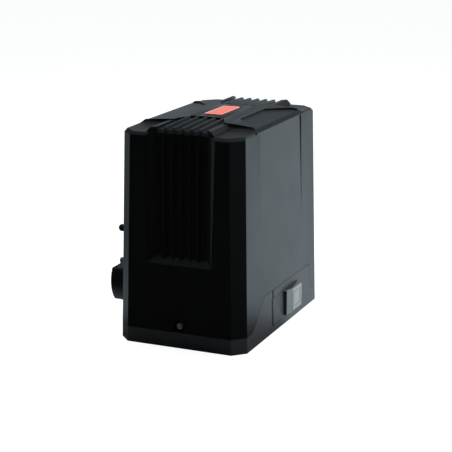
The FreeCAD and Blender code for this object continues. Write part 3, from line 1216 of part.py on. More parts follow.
def make_electrics():
    """Board on its carrier, transformer, capacitor, terminals, relays and the receiver."""
    carrier = new_body("board_carrier")
    pad(carrier, "y", rectangle("-board_half_x - 6", "floor_thick", "board_half_x + 6",
                                "board_top_z + 8"),
        "tray_plate_y", "tray_plate_y + tray_thick")
    pad(carrier, "z", rectangle("-board_half_x - 6", "tray_plate_y", "board_half_x - 50",
                                "tray_plate_y + 16"), "floor_thick", "floor_thick + 3")
    cut(carrier, "y", rectangle("-34", "floor_thick - 1", "40", "60"), "tray_plate_y - 1",
        "tray_plate_y + tray_thick + 1")
    cut(carrier, "z", rectangle("-34", "tray_plate_y - 1", "40", "tray_plate_y + 20"),
        "floor_thick - 1", "floor_thick + 10")
    posts = [(f"{sx}(board_half_x - 5)", z) for sx in ("-", "")
             for z in ("board_bottom_z + 5", "board_top_z - 5")]
    for x, z in posts:
        pad(carrier, "y", ((x, z, "4"),), "tray_plate_y + tray_thick - 0.5", "board_y")
    cut(carrier, "y", tuple((x, z, "1.3") for x, z in posts), "tray_plate_y + 0.5",
        "board_y + 1")
    board = new_body("control_board")
    pad(board, "y", rectangle("-board_half_x", "board_bottom_z", "board_half_x", "board_top_z"),
        "board_y", "board_y + board_thick")
    cut(board, "y", tuple((x, z, "1.6") for x, z in posts), "board_y - 1",
        "board_y + board_thick + 1")
    face = "board_y + board_thick"
    screws("board_screws", "y", [(x, face, z) for x, z in posts], "2.8", "2", "1.25", "9", "1")
    terminals = []
    for number in range(3):
        low = f"-board_half_x + 8 + {number} * 37"
        body = block("terminal", (low, face, "board_bottom_z + 12"),
                     (f"{low} + 33", f"{face} + 12", "board_bottom_z + 24"))
        wells = []
        for pole in range(6):
            centre = f"{low} + 3.5 + {pole} * 5.2"
            wells.append(rod("terminal_well", "y", "1.7", "7",
                             (centre, f"{face} + 7", "board_bottom_z + 18")))
        terminals.append(without("terminal_block", body, group("terminal_wells", wells)))
    node("terminal_blocks", group("terminals_set", terminals))
    relays = [block("relay", (f"{x}", face, "board_top_z - 62"),
                    (f"{x} + 16", f"{face} + 16", "board_top_z - 40"))
              for x in ("-50", "-26")]
    node("relays", group("relay_set", relays))
    fuse = new_body("fuse_holder")
    pad(fuse, "y", rectangle("14", "board_top_z - 58", "40", "board_top_z - 48"), face,
        f"{face} + 5")
    pad(fuse, "x", ((f"{face} + 8", "board_top_z - 53", "3.6"),), "16", "38")
    receiver = new_body("receiver_module")
    pad(receiver, "y", rectangle("10", "board_top_z - 30", "50", "board_top_z - 12"), face,
        f"{face} + 8")
    controller = new_body("microcontroller")
    pad(controller, "y", rectangle("-14", "board_bottom_z + 52", "12", "board_bottom_z + 66"),
        face, f"{face} + 3")

    middle = "-(foot_half_y - transformer_inset)"
    core = new_body("transformer_core")
    pad(core, "z", rectangle("transformer_x - 24", f"{middle} - 22", "transformer_x + 24",
                             f"{middle} + 22"), "floor_thick", "floor_thick + 40")
    for centre in ("transformer_x - 12", "transformer_x + 12"):
        cut(core, "y", rectangle(f"{centre} - 4", "floor_thick + 9", f"{centre} + 4",
                                 "floor_thick + 31"), f"{middle} - 24", f"{middle} + 24")
    coil = new_body("transformer_coil")
    pad(coil, "y", rectangle("transformer_x - 15.6", "floor_thick + 9.4",
                             "transformer_x + 15.6", "floor_thick + 30.6"),
        f"{middle} - 28", f"{middle} + 28")
    cut(coil, "y", rectangle("transformer_x - 8", "floor_thick + 3", "transformer_x + 8",
                             "floor_thick + 37"), f"{middle} - 22", f"{middle} + 22")
    capacitor = new_body("motor_capacitor")
    turned(capacitor, "z", [
        ("0", "floor_thick"), ("capacitor_r - 1", "floor_thick"),
        ("capacitor_r", "floor_thick + 1"), ("capacitor_r", "floor_thick + 70"),
        ("capacitor_r - 2", "floor_thick + 72"), ("0", "floor_thick + 72"),
    ], ("capacitor_x", f"(gear_left_y - {TAB_INNER_Y}) / 2", "0"))
    ring = new_body("cable_grommet")
    turned(ring, "z", [
        ("entry_r - 5", "1"), ("entry_r - 0.05", "1"), ("entry_r - 0.05", "floor_thick"),
        ("entry_r + 3", "floor_thick"), ("entry_r + 3", "floor_thick + 2.5"),
        ("entry_r - 5", "floor_thick + 2.5"),
    ], ("entry_x", ENTRY_Y, "0"))


def make_cover_screws():
    """Screw at each end that holds the cover down to the base tabs."""
    seat = half_y("end_screw_z", "notch_depth")
    pieces = []
    for sign in (-1, 1):
        mark = "-" if sign < 0 else ""
        body = doc.addObject("PartDesign::Body", "cover_screw")
        head, tip = f"{seat} + 3", f"{seat} - 16"
        turned(body, "y", [
            (f"{mark}({tip})", "0"), (f"{mark}({tip})", "end_screw_r - 0.9"),
            (f"{mark}({tip} + 2)", "end_screw_r"), (f"{mark}({seat})", "end_screw_r"),
            (f"{mark}({seat})", "4.4"), (f"{mark}({head} - 1)", "4.4"),
            (f"{mark}({head})", "3.4"), (f"{mark}({head})", "0"),
        ], ("0", "0", "end_screw_z"))
        slot = [(f"{x}0.9", f"end_screw_z {z} 3.2") for x, z in
                (("-", "-"), ("", "-"), ("", "+"), ("-", "+"))]
        start, stop = (f"-({head}) - 1", f"-({head} - 1.4)") if sign < 0 else (
            f"{head} - 1.4", f"{head} + 1")
        cut(body, "y", slot, start, stop)
        pieces.append(body)
    node("cover_screws", group("cover_screw_set", pieces))


def write_parts():
    """Check every object and export each node."""
    doc.recompute()
    failed = [item.Name for item in doc.Objects
              if {"Invalid", "Error"} & set(item.State)]
    if failed:
        raise RuntimeError("did not build: " + ", ".join(failed))
    os.makedirs("parts", exist_ok=True)
    for label, item in NODES.items():
        shape = item.Shape
        if shape.isNull() or not shape.isValid():
            raise RuntimeError("bad shape: " + label)
        shape.exportStep(f"parts/{label}.step")
        print(label, len(shape.Solids), round(shape.Volume))


make_base()
make_cover()
make_gearbox()
make_bearings()
make_output()
make_motor()
make_guard()
make_limit_switch()
make_release()
make_electrics()
make_cover_screws()
write_parts()
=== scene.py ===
"""Looks of a sliding gate motor.

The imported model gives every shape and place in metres. This script rounds the edges of
the moulded and cast shells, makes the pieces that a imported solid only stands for, gives
each piece its finish, and sets the stage, the lamps and the camera.
"""
import json
import logging
import math
from dataclasses import dataclass, field
from enum import Enum

import bmesh
import bpy
from mathutils import Matrix, Vector


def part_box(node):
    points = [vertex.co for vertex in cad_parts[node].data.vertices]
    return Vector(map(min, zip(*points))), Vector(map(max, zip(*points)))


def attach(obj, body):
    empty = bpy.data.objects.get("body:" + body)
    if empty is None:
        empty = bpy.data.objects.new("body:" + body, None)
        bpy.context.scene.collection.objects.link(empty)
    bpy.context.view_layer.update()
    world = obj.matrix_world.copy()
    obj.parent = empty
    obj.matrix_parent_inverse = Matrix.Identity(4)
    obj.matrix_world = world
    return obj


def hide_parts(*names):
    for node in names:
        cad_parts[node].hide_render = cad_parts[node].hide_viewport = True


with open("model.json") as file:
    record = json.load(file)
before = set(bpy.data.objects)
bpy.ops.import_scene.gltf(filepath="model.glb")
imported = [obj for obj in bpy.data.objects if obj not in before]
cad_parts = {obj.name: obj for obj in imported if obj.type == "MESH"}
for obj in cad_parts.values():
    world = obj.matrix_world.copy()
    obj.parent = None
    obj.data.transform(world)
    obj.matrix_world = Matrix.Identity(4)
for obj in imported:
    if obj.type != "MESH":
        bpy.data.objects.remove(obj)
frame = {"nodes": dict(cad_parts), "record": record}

logging.basicConfig(level=logging.INFO, format="%(name)s: %(message)s")
LOG = logging.getLogger("gate_motor")

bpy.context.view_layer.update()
SLOT_OF = {row["node"]: row["material_slot"] for row in frame["record"]["subparts"]}
Colour = tuple[float, float, float]
Place = tuple[float, float, float]
Profile = tuple[tuple[float, float], ...]
Sockets = dict[str | int, object]

BUMP_DEPTH = 0.0002  # height that a bump map stands for at full strength
CORNER_SAMPLES = 4  # rays that each rounded corner's normal takes
GLOSS_DRIFT = 0.05  # how far roughness drifts either way over a surface
DUST_COLOUR = (0.16, 0.15, 0.135)
LACQUER = {"Coat Weight": 0.6, "Coat Roughness": 0.12}

WELD = 2e-6  # packed corners closer than this are one corner
FLAT_TURN = math.radians(0.25)  # faces that turn by less than this are one flat face
SHARP_TURN = math.radians(32)  # edges that turn by more than this are rounded
GATE_FACING = -0.98  # X of a normal, at or under which a face looks at the gate


class Pattern(Enum):
    """Surface structure that a finish shows close up."""

    SPARK = "spark eroded mould grain"
    CAST = "die cast skin"
    TURNED = "fine lines from turning and grinding"
    LAYERS = "stacked sheets"
    WINDING = "wound wire"
    SOLDER_MASK = "lacquered board"


# -------------------------------------------------------------------------- node trees


def set_sockets(node: bpy.types.Node, values: Sockets) -> None:
    """Set constants on a node.

    Args:
        node: the node.
        values: constant of each input socket, by name or number.
    """
    for socket, value in values.items():
        node.inputs[socket].default_value = value


def add_node(
    tree: bpy.types.NodeTree, kind: str, values: Sockets | None = None, **settings: object
) -> bpy.types.Node:
    """Add a shader node.

    Args:
        tree: the tree that takes it.
        kind: type of the node.
        values: constant of each input socket, by name or number.
        settings: other properties of the node, such as its operation.

    Returns:
        The node.
    """
    node = tree.nodes.new(kind)
    for name, setting in settings.items():
        setattr(node, name, setting)
    set_sockets(node, values or {})
    return node


def add_mix(tree: bpy.types.NodeTree, **colours: Colour) -> bpy.types.Node:
    """Add a mix of two colours.

    Args:
        tree: the tree that takes it.
        colours: constant of input A, input B or both.

    Returns:
        The mix node.
    """
    values = {name: (*colour, 1) for name, colour in colours.items()}
    return add_node(tree, "ShaderNodeMix", values, data_type="RGBA")


def wire(
    tree: bpy.types.NodeTree, *runs: tuple[bpy.types.Node, str, bpy.types.Node, str | int]
) -> None:
    """Link sockets.

    Args:
        tree: the tree that holds the nodes.
        runs: each a node, its output, the node that this feeds, and the input there.
    """
    for source, output, target, entry in runs:
        tree.links.new(source.outputs[output], target.inputs[entry])


def new_material(
    name: str, values: Sockets
) -> tuple[bpy.types.Material, bpy.types.NodeTree, bpy.types.Node]:
    """Start a material.

    Args:
        name: its name.
        values: constants of its Principled shader.

    Returns:
        The material, its node tree and its Principled shader.
    """
    material = bpy.data.materials.new(name)
    material.use_nodes = True
    shader = material.node_tree.nodes["Principled BSDF"]
    set_sockets(shader, values)
    return material, material.node_tree, shader


def scaled(colour: Colour, share: float) -> Colour:
    """Brighten or darken a colour.

    Args:
        colour: the colour.
        share: what each channel is multiplied by.

    Returns:
        The new colour, with no channel over one.
    """
    return tuple(min(channel * share, 1.0) for channel in colour)


class EffectGroups:
    """Shader node groups that several materials share, each built once."""

    def __init__(self) -> None:
        """Build every group."""
        self.grain = self._grain()
        self.wear = self._wear()
        self.dust = self._dust()
        self.lines = self._lines()
        self.bands = self._bands()

    @staticmethod
    def _empty(
        name: str, inputs: dict[str, float | None], outputs: list[str]
    ) -> tuple[bpy.types.NodeTree, bpy.types.Node, bpy.types.Node]:
        """Make a group with its sockets.

        Args:
            name: name of the group.
            inputs: default of each value input, or None where the input is a vector.
            outputs: names of the value outputs.

        Returns:
            The tree with its input and output nodes.
        """
        tree = bpy.data.node_groups.new(name, "ShaderNodeTree")
        for label, default in inputs.items():
            kind = "NodeSocketVector" if default is None else "NodeSocketFloat"
            socket = tree.interface.new_socket(label, in_out="INPUT", socket_type=kind)
            if default is not None:
                socket.default_value = default
        for label in outputs:
            tree.interface.new_socket(label, in_out="OUTPUT", socket_type="NodeSocketFloat")
        return tree, tree.nodes.new("NodeGroupInput"), tree.nodes.new("NodeGroupOutput")

    def _grain(self) -> bpy.types.NodeTree:
        """Fine grain height with a slow drift of tone.

        Returns:
            The group, with outputs Height and Drift.
        """
        tree, start, end = self._empty("mould_grain", {"Scale": 1500.0}, ["Height", "Drift"])
        where = add_node(tree, "ShaderNodeTexCoord")
        fine = add_node(tree, "ShaderNodeTexNoise", {"Detail": 2.0, "Roughness": 0.6})
        drift = add_node(tree, "ShaderNodeTexNoise", {"Scale": 21.0, "Detail": 4.0})
        wire(
            tree,
            (where, "Object", fine, "Vector"),
            (where, "Object", drift, "Vector"),
            (start, "Scale", fine, "Scale"),
            (fine, "Fac", end, "Height"),
            (drift, "Fac", end, "Drift"))
        return tree

    def _wear(self) -> bpy.types.NodeTree:
        """Mask that is one along outer edges, broken up by noise.

        Returns:
            The group, with output Mask.
        """
        tree, start, end = self._empty(
            "edge_wear", {"Rounded Normal": None, "Reach": 0.12}, ["Mask"])
        shape = add_node(tree, "ShaderNodeNewGeometry")
        same = add_node(tree, "ShaderNodeVectorMath", operation="DOT_PRODUCT")
        turned = add_node(tree, "ShaderNodeMath", {0: 1.0}, operation="SUBTRACT")
        where = add_node(tree, "ShaderNodeTexCoord")
        broken = add_node(tree, "ShaderNodeTexNoise", {"Scale": 260.0, "Detail": 5.0})
        share = add_node(tree, "ShaderNodeMapRange")
        patchy = add_node(tree, "ShaderNodeMath", operation="MULTIPLY", use_clamp=True)
        wire(
            tree,
            (shape, "Normal", same, 0),
            (start, "Rounded Normal", same, 1),
            (same, "Value", turned, 1),
            (turned, "Value", share, "Value"),
            (start, "Reach", share, "From Max"),
            (where, "Object", broken, "Vector"),
            (share, "Result", patchy, 0),
            (broken, "Fac", patchy, 1),
            (patchy, "Value", end, "Mask"))
        return tree

    def _dust(self) -> bpy.types.NodeTree:
        """Mask of dust that settles in patches on faces that look up.

        Returns:
            The group, with output Mask.
        """
        tree, start, end = self._empty("settled_dust", {"Amount": 0.2}, ["Mask"])
        shape = add_node(tree, "ShaderNodeNewGeometry")
        split = add_node(tree, "ShaderNodeSeparateXYZ")
        upward = add_node(tree, "ShaderNodeMapRange", {"From Min": 0.3})
        where = add_node(tree, "ShaderNodeTexCoord")
        cloud = add_node(
            tree, "ShaderNodeTexNoise", {"Scale": 34.0, "Detail": 7.0, "Roughness": 0.65})
        patches = add_node(
            tree, "ShaderNodeMapRange", {"From Min": 0.38, "From Max": 0.72})
        both = add_node(tree, "ShaderNodeMath", operation="MULTIPLY")
        amount = add_node(tree, "ShaderNodeMath", operation="MULTIPLY", use_clamp=True)
        wire(
            tree,
            (shape, "Normal", split, "Vector"),
            (split, "Z", upward, "Value"),
            (where, "Object", cloud, "Vector"),
            (cloud, "Fac", patches, "Value"),
            (upward, "Result", both, 0),
            (patches, "Result", both, 1),
            (both, "Value", amount, 0),
            (start, "Amount", amount, 1),
            (amount, "Value", end, "Mask"))
        return tree

    def _lines(self) -> bpy.types.NodeTree:
        """Fine tool lines: noise stretched along the axes.

        Returns:
            The group, with outputs Height and Drift.
        """
        return self._stretched(
            "tool_lines", 900.0, {"Scale": 60.0, "Detail": 5.0},
            "ShaderNodeTexNoise", {"Detail": 3.0})

    def _bands(self) -> bpy.types.NodeTree:
        """Even bands across one axis: sheet stacks and wound wire.

        Returns:
            The group, with outputs Height and Drift.
        """
        return self._stretched(
            "stacked_bands", 300.0, {"Scale": 180.0},
            "ShaderNodeTexWave", {"Distortion": 0.25}, bands_direction="DIAGONAL")

    def _stretched(
        self, name: str, scale: float, slow: Sockets, kind: str, values: Sockets,
        **settings: object
    ) -> bpy.types.NodeTree:
        """Height of a texture that is stretched along the axes, with a slow drift of tone.

        Args:
            name: name of the group.
            scale: default scale of the texture.
            slow: constants of the noise that makes the drift.
            kind: type of the texture's node.
            values: constants of the texture.
            settings: other properties of the texture.

        Returns:
            The group, with outputs Height and Drift.
        """
        tree, start, end = self._empty(
            name, {"Stretch": None, "Scale": scale}, ["Height", "Drift"])
        where = add_node(tree, "ShaderNodeTexCoord")
        squeeze = add_node(tree, "ShaderNodeVectorMath", operation="MULTIPLY")
        fine = add_node(tree, kind, values, **settings)
        drift = add_node(tree, "ShaderNodeTexNoise", slow)
        wire(
            tree,
            (where, "Object", squeeze, 0),
            (start, "Stretch", squeeze, 1),
            (squeeze, "Vector", fine, "Vector"),
            (start, "Scale", fine, "Scale"),
            (where, "Object", drift, "Vector"),
            (fine, "Fac", end, "Height"),
            (drift, "Fac", end, "Drift"))
        return tree


# ---------------------------------------------------------------------------- finishes


@dataclass(frozen=True)
class Finish:
    """One surface of the gate motor."""

    name: str
    colour: Colour
    worn: Colour
    roughness: float
    metallic: float = 0.0
    pattern: Pattern = Pattern.SPARK
    scale: float = 1500.0
    relief: float = 0.12
    stretch: Place = (1.0, 1.0, 1.0)
    drift: float = 0.15
    wear: float = 0.5
    dust: float = 0.0
    edge: float = 0.0006

    def build(self, groups: EffectGroups) -> bpy.types.Material:
        """Make the material.

        Args:
            groups: the shared effects.

        Returns:
            A material whose sockets follow this finish.
        """
        coat = LACQUER if self.pattern is Pattern.SOLDER_MASK else {}
        material, tree, shader = new_material(self.name, {"Metallic": self.metallic, **coat})
        texture = self._texture(tree, groups)
        rounded = add_node(
            tree, "ShaderNodeBevel", {"Radius": self.edge}, samples=CORNER_SAMPLES)
        bump = add_node(
            tree, "ShaderNodeBump", {"Strength": self.relief, "Distance": BUMP_DEPTH})
        tone = add_mix(
            tree, A=scaled(self.colour, 1 - self.drift), B=scaled(self.colour, 1 + self.drift))
        wear = add_node(tree, "ShaderNodeGroup", node_tree=groups.wear)
        amount = add_node(tree, "ShaderNodeMath", {1: self.wear}, operation="MULTIPLY")
        rubbed = add_mix(tree, B=self.worn)
        dust = add_node(
            tree, "ShaderNodeGroup", {"Amount": self.dust}, node_tree=groups.dust)
        powder = add_mix(tree, B=DUST_COLOUR)
        gloss = add_node(tree, "ShaderNodeMapRange", {
            "To Min": self.roughness - GLOSS_DRIFT, "To Max": self.roughness + GLOSS_DRIFT})
        wire(
            tree,
            (texture, "Height", bump, "Height"),
            (rounded, "Normal", bump, "Normal"),
            (bump, "Normal", shader, "Normal"),
            (texture, "Drift", tone, "Factor"),
            (rounded, "Normal", wear, "Rounded Normal"),
            (wear, "Mask", amount, 0),
            (amount, "Value", rubbed, "Factor"),
            (tone, "Result", rubbed, "A"),
            (dust, "Mask", powder, "Factor"),
            (rubbed, "Result", powder, "A"),
            (powder, "Result", shader, "Base Color"),
            (texture, "Drift", gloss, "Value"),
            (gloss, "Result", shader, "Roughness"))
        return material

    def _texture(
        self, tree: bpy.types.NodeTree, groups: EffectGroups
    ) -> bpy.types.ShaderNodeGroup:
        """Place the shared effect that gives this finish its structure.

        Args:
            tree: node tree of the material.
            groups: the shared effects.

        Returns:
            The placed group node.
        """
        group = {
            Pattern.TURNED: groups.lines,
            Pattern.LAYERS: groups.bands,
            Pattern.WINDING: groups.bands,
        }.get(self.pattern, groups.grain)
        texture = add_node(tree, "ShaderNodeGroup", {"Scale": self.scale}, node_tree=group)
        if "Stretch" in texture.inputs:
            set_sockets(texture, {"Stretch": self.stretch})
        return texture


FINISHES = (
    Finish(
        "cover_plastic", (0.0090, 0.0100, 0.0112), (0.034, 0.037, 0.041), 0.42,
        relief=0.10, scale=2100.0, dust=0.05, wear=0.55),
    Finish(
        "base_plastic", (0.060, 0.061, 0.066), (0.10, 0.102, 0.107), 0.48,
        scale=1800.0, dust=0.04),
    Finish(
        "door_plastic", (0.060, 0.061, 0.066), (0.10, 0.102, 0.107), 0.48, scale=1800.0),
    Finish(
        "boss_plastic", (0.235, 0.250, 0.252), (0.34, 0.355, 0.36), 0.44,
        relief=0.10, scale=1800.0, drift=0.1, wear=0.4),
    Finish(
        "cap_plastic", (0.46, 0.485, 0.485), (0.58, 0.60, 0.60), 0.36,
        relief=0.06, scale=1800.0, drift=0.08, wear=0.4),
    Finish(
        "cast_aluminium", (0.50, 0.51, 0.52), (0.72, 0.72, 0.72), 0.48, metallic=0.9,
        pattern=Pattern.CAST, scale=700.0, relief=0.25, dust=0.08, wear=0.7),
    Finish(
        "zinc_steel", (0.72, 0.72, 0.70), (0.46, 0.44, 0.41), 0.34, metallic=0.6,
        pattern=Pattern.TURNED, scale=500.0, relief=0.08),
    Finish(
        "bearing_steel", (0.52, 0.52, 0.53), (0.66, 0.66, 0.66), 0.28, metallic=1.0,
        pattern=Pattern.TURNED, scale=260.0, relief=0.10, stretch=(9.0, 1.0, 1.0)),
    Finish(
        "worm_steel", (0.46, 0.46, 0.48), (0.64, 0.64, 0.64), 0.24, metallic=1.0,
        pattern=Pattern.TURNED, scale=240.0, relief=0.10, stretch=(1.0, 1.0, 9.0)),
    Finish(
        "wheel_bronze", (0.62, 0.40, 0.18), (0.80, 0.58, 0.32), 0.33, metallic=1.0,
        pattern=Pattern.TURNED, scale=220.0, stretch=(8.0, 1.0, 1.0)),
    Finish(
        "seal_rubber", (0.018, 0.018, 0.019), (0.03, 0.03, 0.03), 0.72,
        scale=1200.0, relief=0.2, drift=0.25, dust=0.1, wear=0.2),
    Finish(
        "core_steel", (0.20, 0.205, 0.22), (0.40, 0.40, 0.41), 0.45, metallic=0.9,
        pattern=Pattern.LAYERS, scale=330.0, relief=0.45, stretch=(0.0, 0.0, 3.0)),
    Finish(
        "copper_wire", (0.62, 0.25, 0.10), (0.75, 0.36, 0.18), 0.30, metallic=0.85,
        pattern=Pattern.WINDING, scale=210.0, relief=0.8, stretch=(3.0, 3.0, 0.0)),
    Finish(
        "guard_plastic", (0.011, 0.011, 0.012), (0.035, 0.035, 0.037), 0.34,
        relief=0.07, wear=0.45),
    Finish(
        "lock_brass", (0.70, 0.56, 0.30), (0.84, 0.72, 0.46), 0.26, metallic=1.0,
        pattern=Pattern.TURNED, scale=320.0, relief=0.08, stretch=(1.0, 6.0, 1.0)),
    Finish(
        "board_green", (0.010, 0.13, 0.052), (0.16, 0.24, 0.14), 0.35,
        pattern=Pattern.SOLDER_MASK, scale=500.0, relief=0.05, drift=0.2, dust=0.04),
    Finish(
        "carrier_plastic", (0.05, 0.05, 0.055), (0.09, 0.09, 0.095), 0.5, dust=0.08),
    Finish(
        "terminal_plastic", (0.025, 0.26, 0.09), (0.06, 0.34, 0.14), 0.42,
        relief=0.05, drift=0.08, wear=0.3),
    Finish(
        "relay_plastic", (0.020, 0.045, 0.14), (0.05, 0.09, 0.2), 0.25,
        relief=0.04, drift=0.08, wear=0.3),
    Finish(
        "capacitor_shell", (0.72, 0.73, 0.74), (0.82, 0.82, 0.82), 0.32,
        relief=0.05, drift=0.04, wear=0.2, dust=0.06),
    Finish(
        "spring_steel", (0.40, 0.40, 0.42), (0.6, 0.6, 0.6), 0.25, metallic=1.0,
        pattern=Pattern.TURNED, scale=400.0, relief=0.05, edge=0.0001),
)


@dataclass(frozen=True)
class BadgePrint:
    """Printed face of the badge: a plain coral field inside a thin pale line."""

    field: Colour = (0.80, 0.125, 0.070)
    line: Colour = (0.86, 0.62, 0.56)
    line_inset: float = 0.0011
    line_width: float = 0.0009
    darkest: float = 0.94
    brightest: float = 1.08
    roughness: float = 0.30
    gloss_drift: float = 0.06
    relief: float = 0.04

    def build(self, half: tuple[float, float]) -> bpy.types.Material:
        """Make the printed face.

        Args:
            half: half width and half length of the badge.

        Returns:
            The material of the badge face.
        """
        material, tree, shader = new_material(
            "badge_face", {"Coat Weight": 0.25, "Coat Roughness": 0.2})
        where = add_node(tree, "ShaderNodeTexCoord")
        split = add_node(tree, "ShaderNodeSeparateXYZ")
        nearest = add_node(tree, "ShaderNodeMath", operation="MINIMUM")
        for entry, (axis, reach) in enumerate(zip("XY", half)):
            away = add_node(tree, "ShaderNodeMath", operation="ABSOLUTE")
            margin = add_node(tree, "ShaderNodeMath", {0: reach}, operation="SUBTRACT")
            wire(
                tree,
                (split, axis, away, 0),
                (away, "Value", margin, 1),
                (margin, "Value", nearest, entry))
        half_line = self.line_width / 2
        band = add_node(
            tree, "ShaderNodeMath", {1: self.line_inset + half_line, 2: half_line},
            operation="COMPARE")
        ink = add_node(tree, "ShaderNodeTexNoise", {"Scale": 45.0, "Detail": 3.0})
        tone = add_mix(
            tree, A=scaled(self.field, self.darkest), B=scaled(self.field, self.brightest))
        drawn = add_mix(tree, B=self.line)
        fine = add_node(tree, "ShaderNodeTexNoise", {"Scale": 900.0})
        gloss = add_node(tree, "ShaderNodeMapRange", {
            "To Min": self.roughness - self.gloss_drift,
            "To Max": self.roughness + self.gloss_drift})
        bump = add_node(
            tree, "ShaderNodeBump", {"Strength": self.relief, "Distance": BUMP_DEPTH})
        wire(
            tree,
            (where, "Object", split, "Vector"),
            (nearest, "Value", band, 0),
            (where, "Object", ink, "Vector"),
            (ink, "Fac", tone, "Factor"),
            (band, "Value", drawn, "Factor"),
            (tone, "Result", drawn, "A"),
            (drawn, "Result", shader, "Base Color"),
            (where, "Object", fine, "Vector"),
            (fine, "Fac", gloss, "Value"),
            (gloss, "Result", shader, "Roughness"),
            (fine, "Fac", bump, "Height"),
            (bump, "Normal", shader, "Normal"))
        return material


class Wardrobe:
    """Every material, ready to be worn by a piece."""

    def __init__(self) -> None:
        """Build the shared effects and one material per finish."""
        groups = EffectGroups()
        self.materials = {finish.name: finish.build(groups) for finish in FINISHES}

    def dress(self, piece: bpy.types.Object, finish: str) -> None:
        """Put one finish on every slot of a piece.

        Args:
            piece: a mesh object.
            finish: name of the finish.
        """
        material = self.materials[finish]
        if not piece.material_slots:
            piece.data.materials.append(material)
        for place in piece.material_slots:
            place.material = material


# ------------------------------------------------------------------------- mesh making


def new_piece(name: str, mesh: bpy.types.Mesh) -> bpy.types.Object:
    """Link a mesh as a new object at the origin.

    Args:
        name: name of the piece.
        mesh: its mesh.

    Returns:
        The new object.
    """
    piece = bpy.data.objects.new(name, mesh)
    bpy.context.scene.collection.objects.link(piece)
    return piece


def finished(name: str, work: bmesh.types.BMesh) -> bpy.types.Object:
    """Turn a mesh that was built here into a new piece.

    Args:
        name: name of the piece.
        work: the built mesh, which is freed.

    Returns:
        The new piece.
    """
    mesh = bpy.data.meshes.new(name)
    work.to_mesh(mesh)
    work.free()
    return new_piece(name, mesh)


def skinned(
    name: str, outlines: list[list[Place | Vector]], crease: float | None = None
) -> bpy.types.Object:
    """Join closed outlines by faces, one to the next, and close both ends.

    Args:
        name: name of the piece.
        outlines: the points of each outline, with as many in every outline.
        crease: edges that turn by this many degrees or more stay sharp, or None.

    Returns:
        The new piece.
    """
    work = bmesh.new()
    loops = [[work.verts.new(point) for point in outline] for outline in outlines]
    count = len(loops[0])
    for first, second in zip(loops, loops[1:]):
        for step in range(count):
            following = (step + 1) % count
            work.faces.new(
                (first[step], first[following], second[following], second[step])).smooth = True
    work.faces.new(loops[0][::-1])
    work.faces.new(loops[-1])
    bmesh.ops.recalc_face_normals(work, faces=work.faces)
    if crease is not None:
        for edge in work.edges:
            edge.smooth = edge.calc_face_angle(0.0) < math.radians(crease)
    return finished(name, work)


@dataclass(frozen=True)
class Rim:
    """Long upright edges at one distance from the middle, with a broad rounding."""

    away_x: float
    least_length: float
    width: float
    margin: float = 0.0006
    least_turn: float = math.radians(30)
    segments: int = 5

    def holds(self, edge: bmesh.types.BMEdge) -> bool:
        """Say whether an edge is one of this rim.

        Args:
            edge: an edge of the mesh.

        Returns:
            True if it is.
        """
        return (
            edge.is_manifold and edge.is_convex and edge.calc_length() > self.least_length
            and edge.calc_face_angle(0.0) > self.least_turn
            and all(abs(abs(vertex.co.x) - self.away_x) < self.margin
                    for vertex in edge.verts)
            and abs(edge.verts[0].co.x - edge.verts[1].co.x) < self.margin)


def add_bevel(
    piece: bpy.types.Object, name: str, width: float, segments: int, **settings: object
) -> None:
    """Round edges of a piece.

    Args:
        piece: the piece.
        name: name of the modifier.
        width: width of the rounding in metres.
        segments: number of faces across it.
        settings: other properties of the modifier, such as which edges it takes.
    """
    bevel = piece.modifiers.new(name, "BEVEL")
    bevel.width = width
    bevel.segments = segments
    bevel.harden_normals = True
    for setting, value in settings.items():
        setattr(bevel, setting, value)


def rounded_copy(
    node: str, name: str, radius: float, pierced: bool = False, rim: Rim | None = None
) -> bpy.types.Object:
    """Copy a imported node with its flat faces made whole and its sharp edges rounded.

    Args:
        node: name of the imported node.
        name: name of the new piece.
        radius: width of the rounding in metres.
        pierced: flat faces have openings with narrow rims, so they stay in even triangles.
        rim: edges that get a broader rounding of their own, or None.

    Returns:
        The piece, not yet riding on a body.
    """
    mesh = frame["nodes"][node].data.copy()
    mesh.name = name
    work = bmesh.new()
    work.from_mesh(mesh)
    bmesh.ops.remove_doubles(work, verts=work.verts, dist=WELD)
    bmesh.ops.dissolve_limit(
        work, angle_limit=FLAT_TURN, use_dissolve_boundaries=False,
        verts=work.verts, edges=work.edges)
    if pierced:
        cut = bmesh.ops.triangulate(
            work, faces=[face for face in work.faces if len(face.verts) > 4])
        bmesh.ops.beautify_fill(
            work, faces=cut["faces"],
            edges=[edge for edge in work.edges
                   if edge.is_manifold and edge.calc_face_angle(0.0) < FLAT_TURN])
    bmesh.ops.recalc_face_normals(work, faces=work.faces)
    for edge in work.edges:
        edge.smooth = not (edge.is_manifold and edge.calc_face_angle(0.0) > SHARP_TURN)
    for face in work.faces:
        # the wall on the gate side is one plane with openings, so it keeps its own normal
        face.smooth = face.normal.x > GATE_FACING
    if rim:
        weights = work.edges.layers.float.new("bevel_weight_edge")
        for edge in filter(rim.holds, work.edges):
            edge[weights] = 1.0
    work.to_mesh(mesh)
    work.free()
    piece = new_piece(name, mesh)
    if rim:
        add_bevel(piece, "broad_rounding", rim.width, rim.segments, limit_method="WEIGHT")
    add_bevel(
        piece, "rounding", radius, 2, limit_method="ANGLE", angle_limit=SHARP_TURN,
        miter_outer="MITER_ARC", loop_slide=False)
    return piece


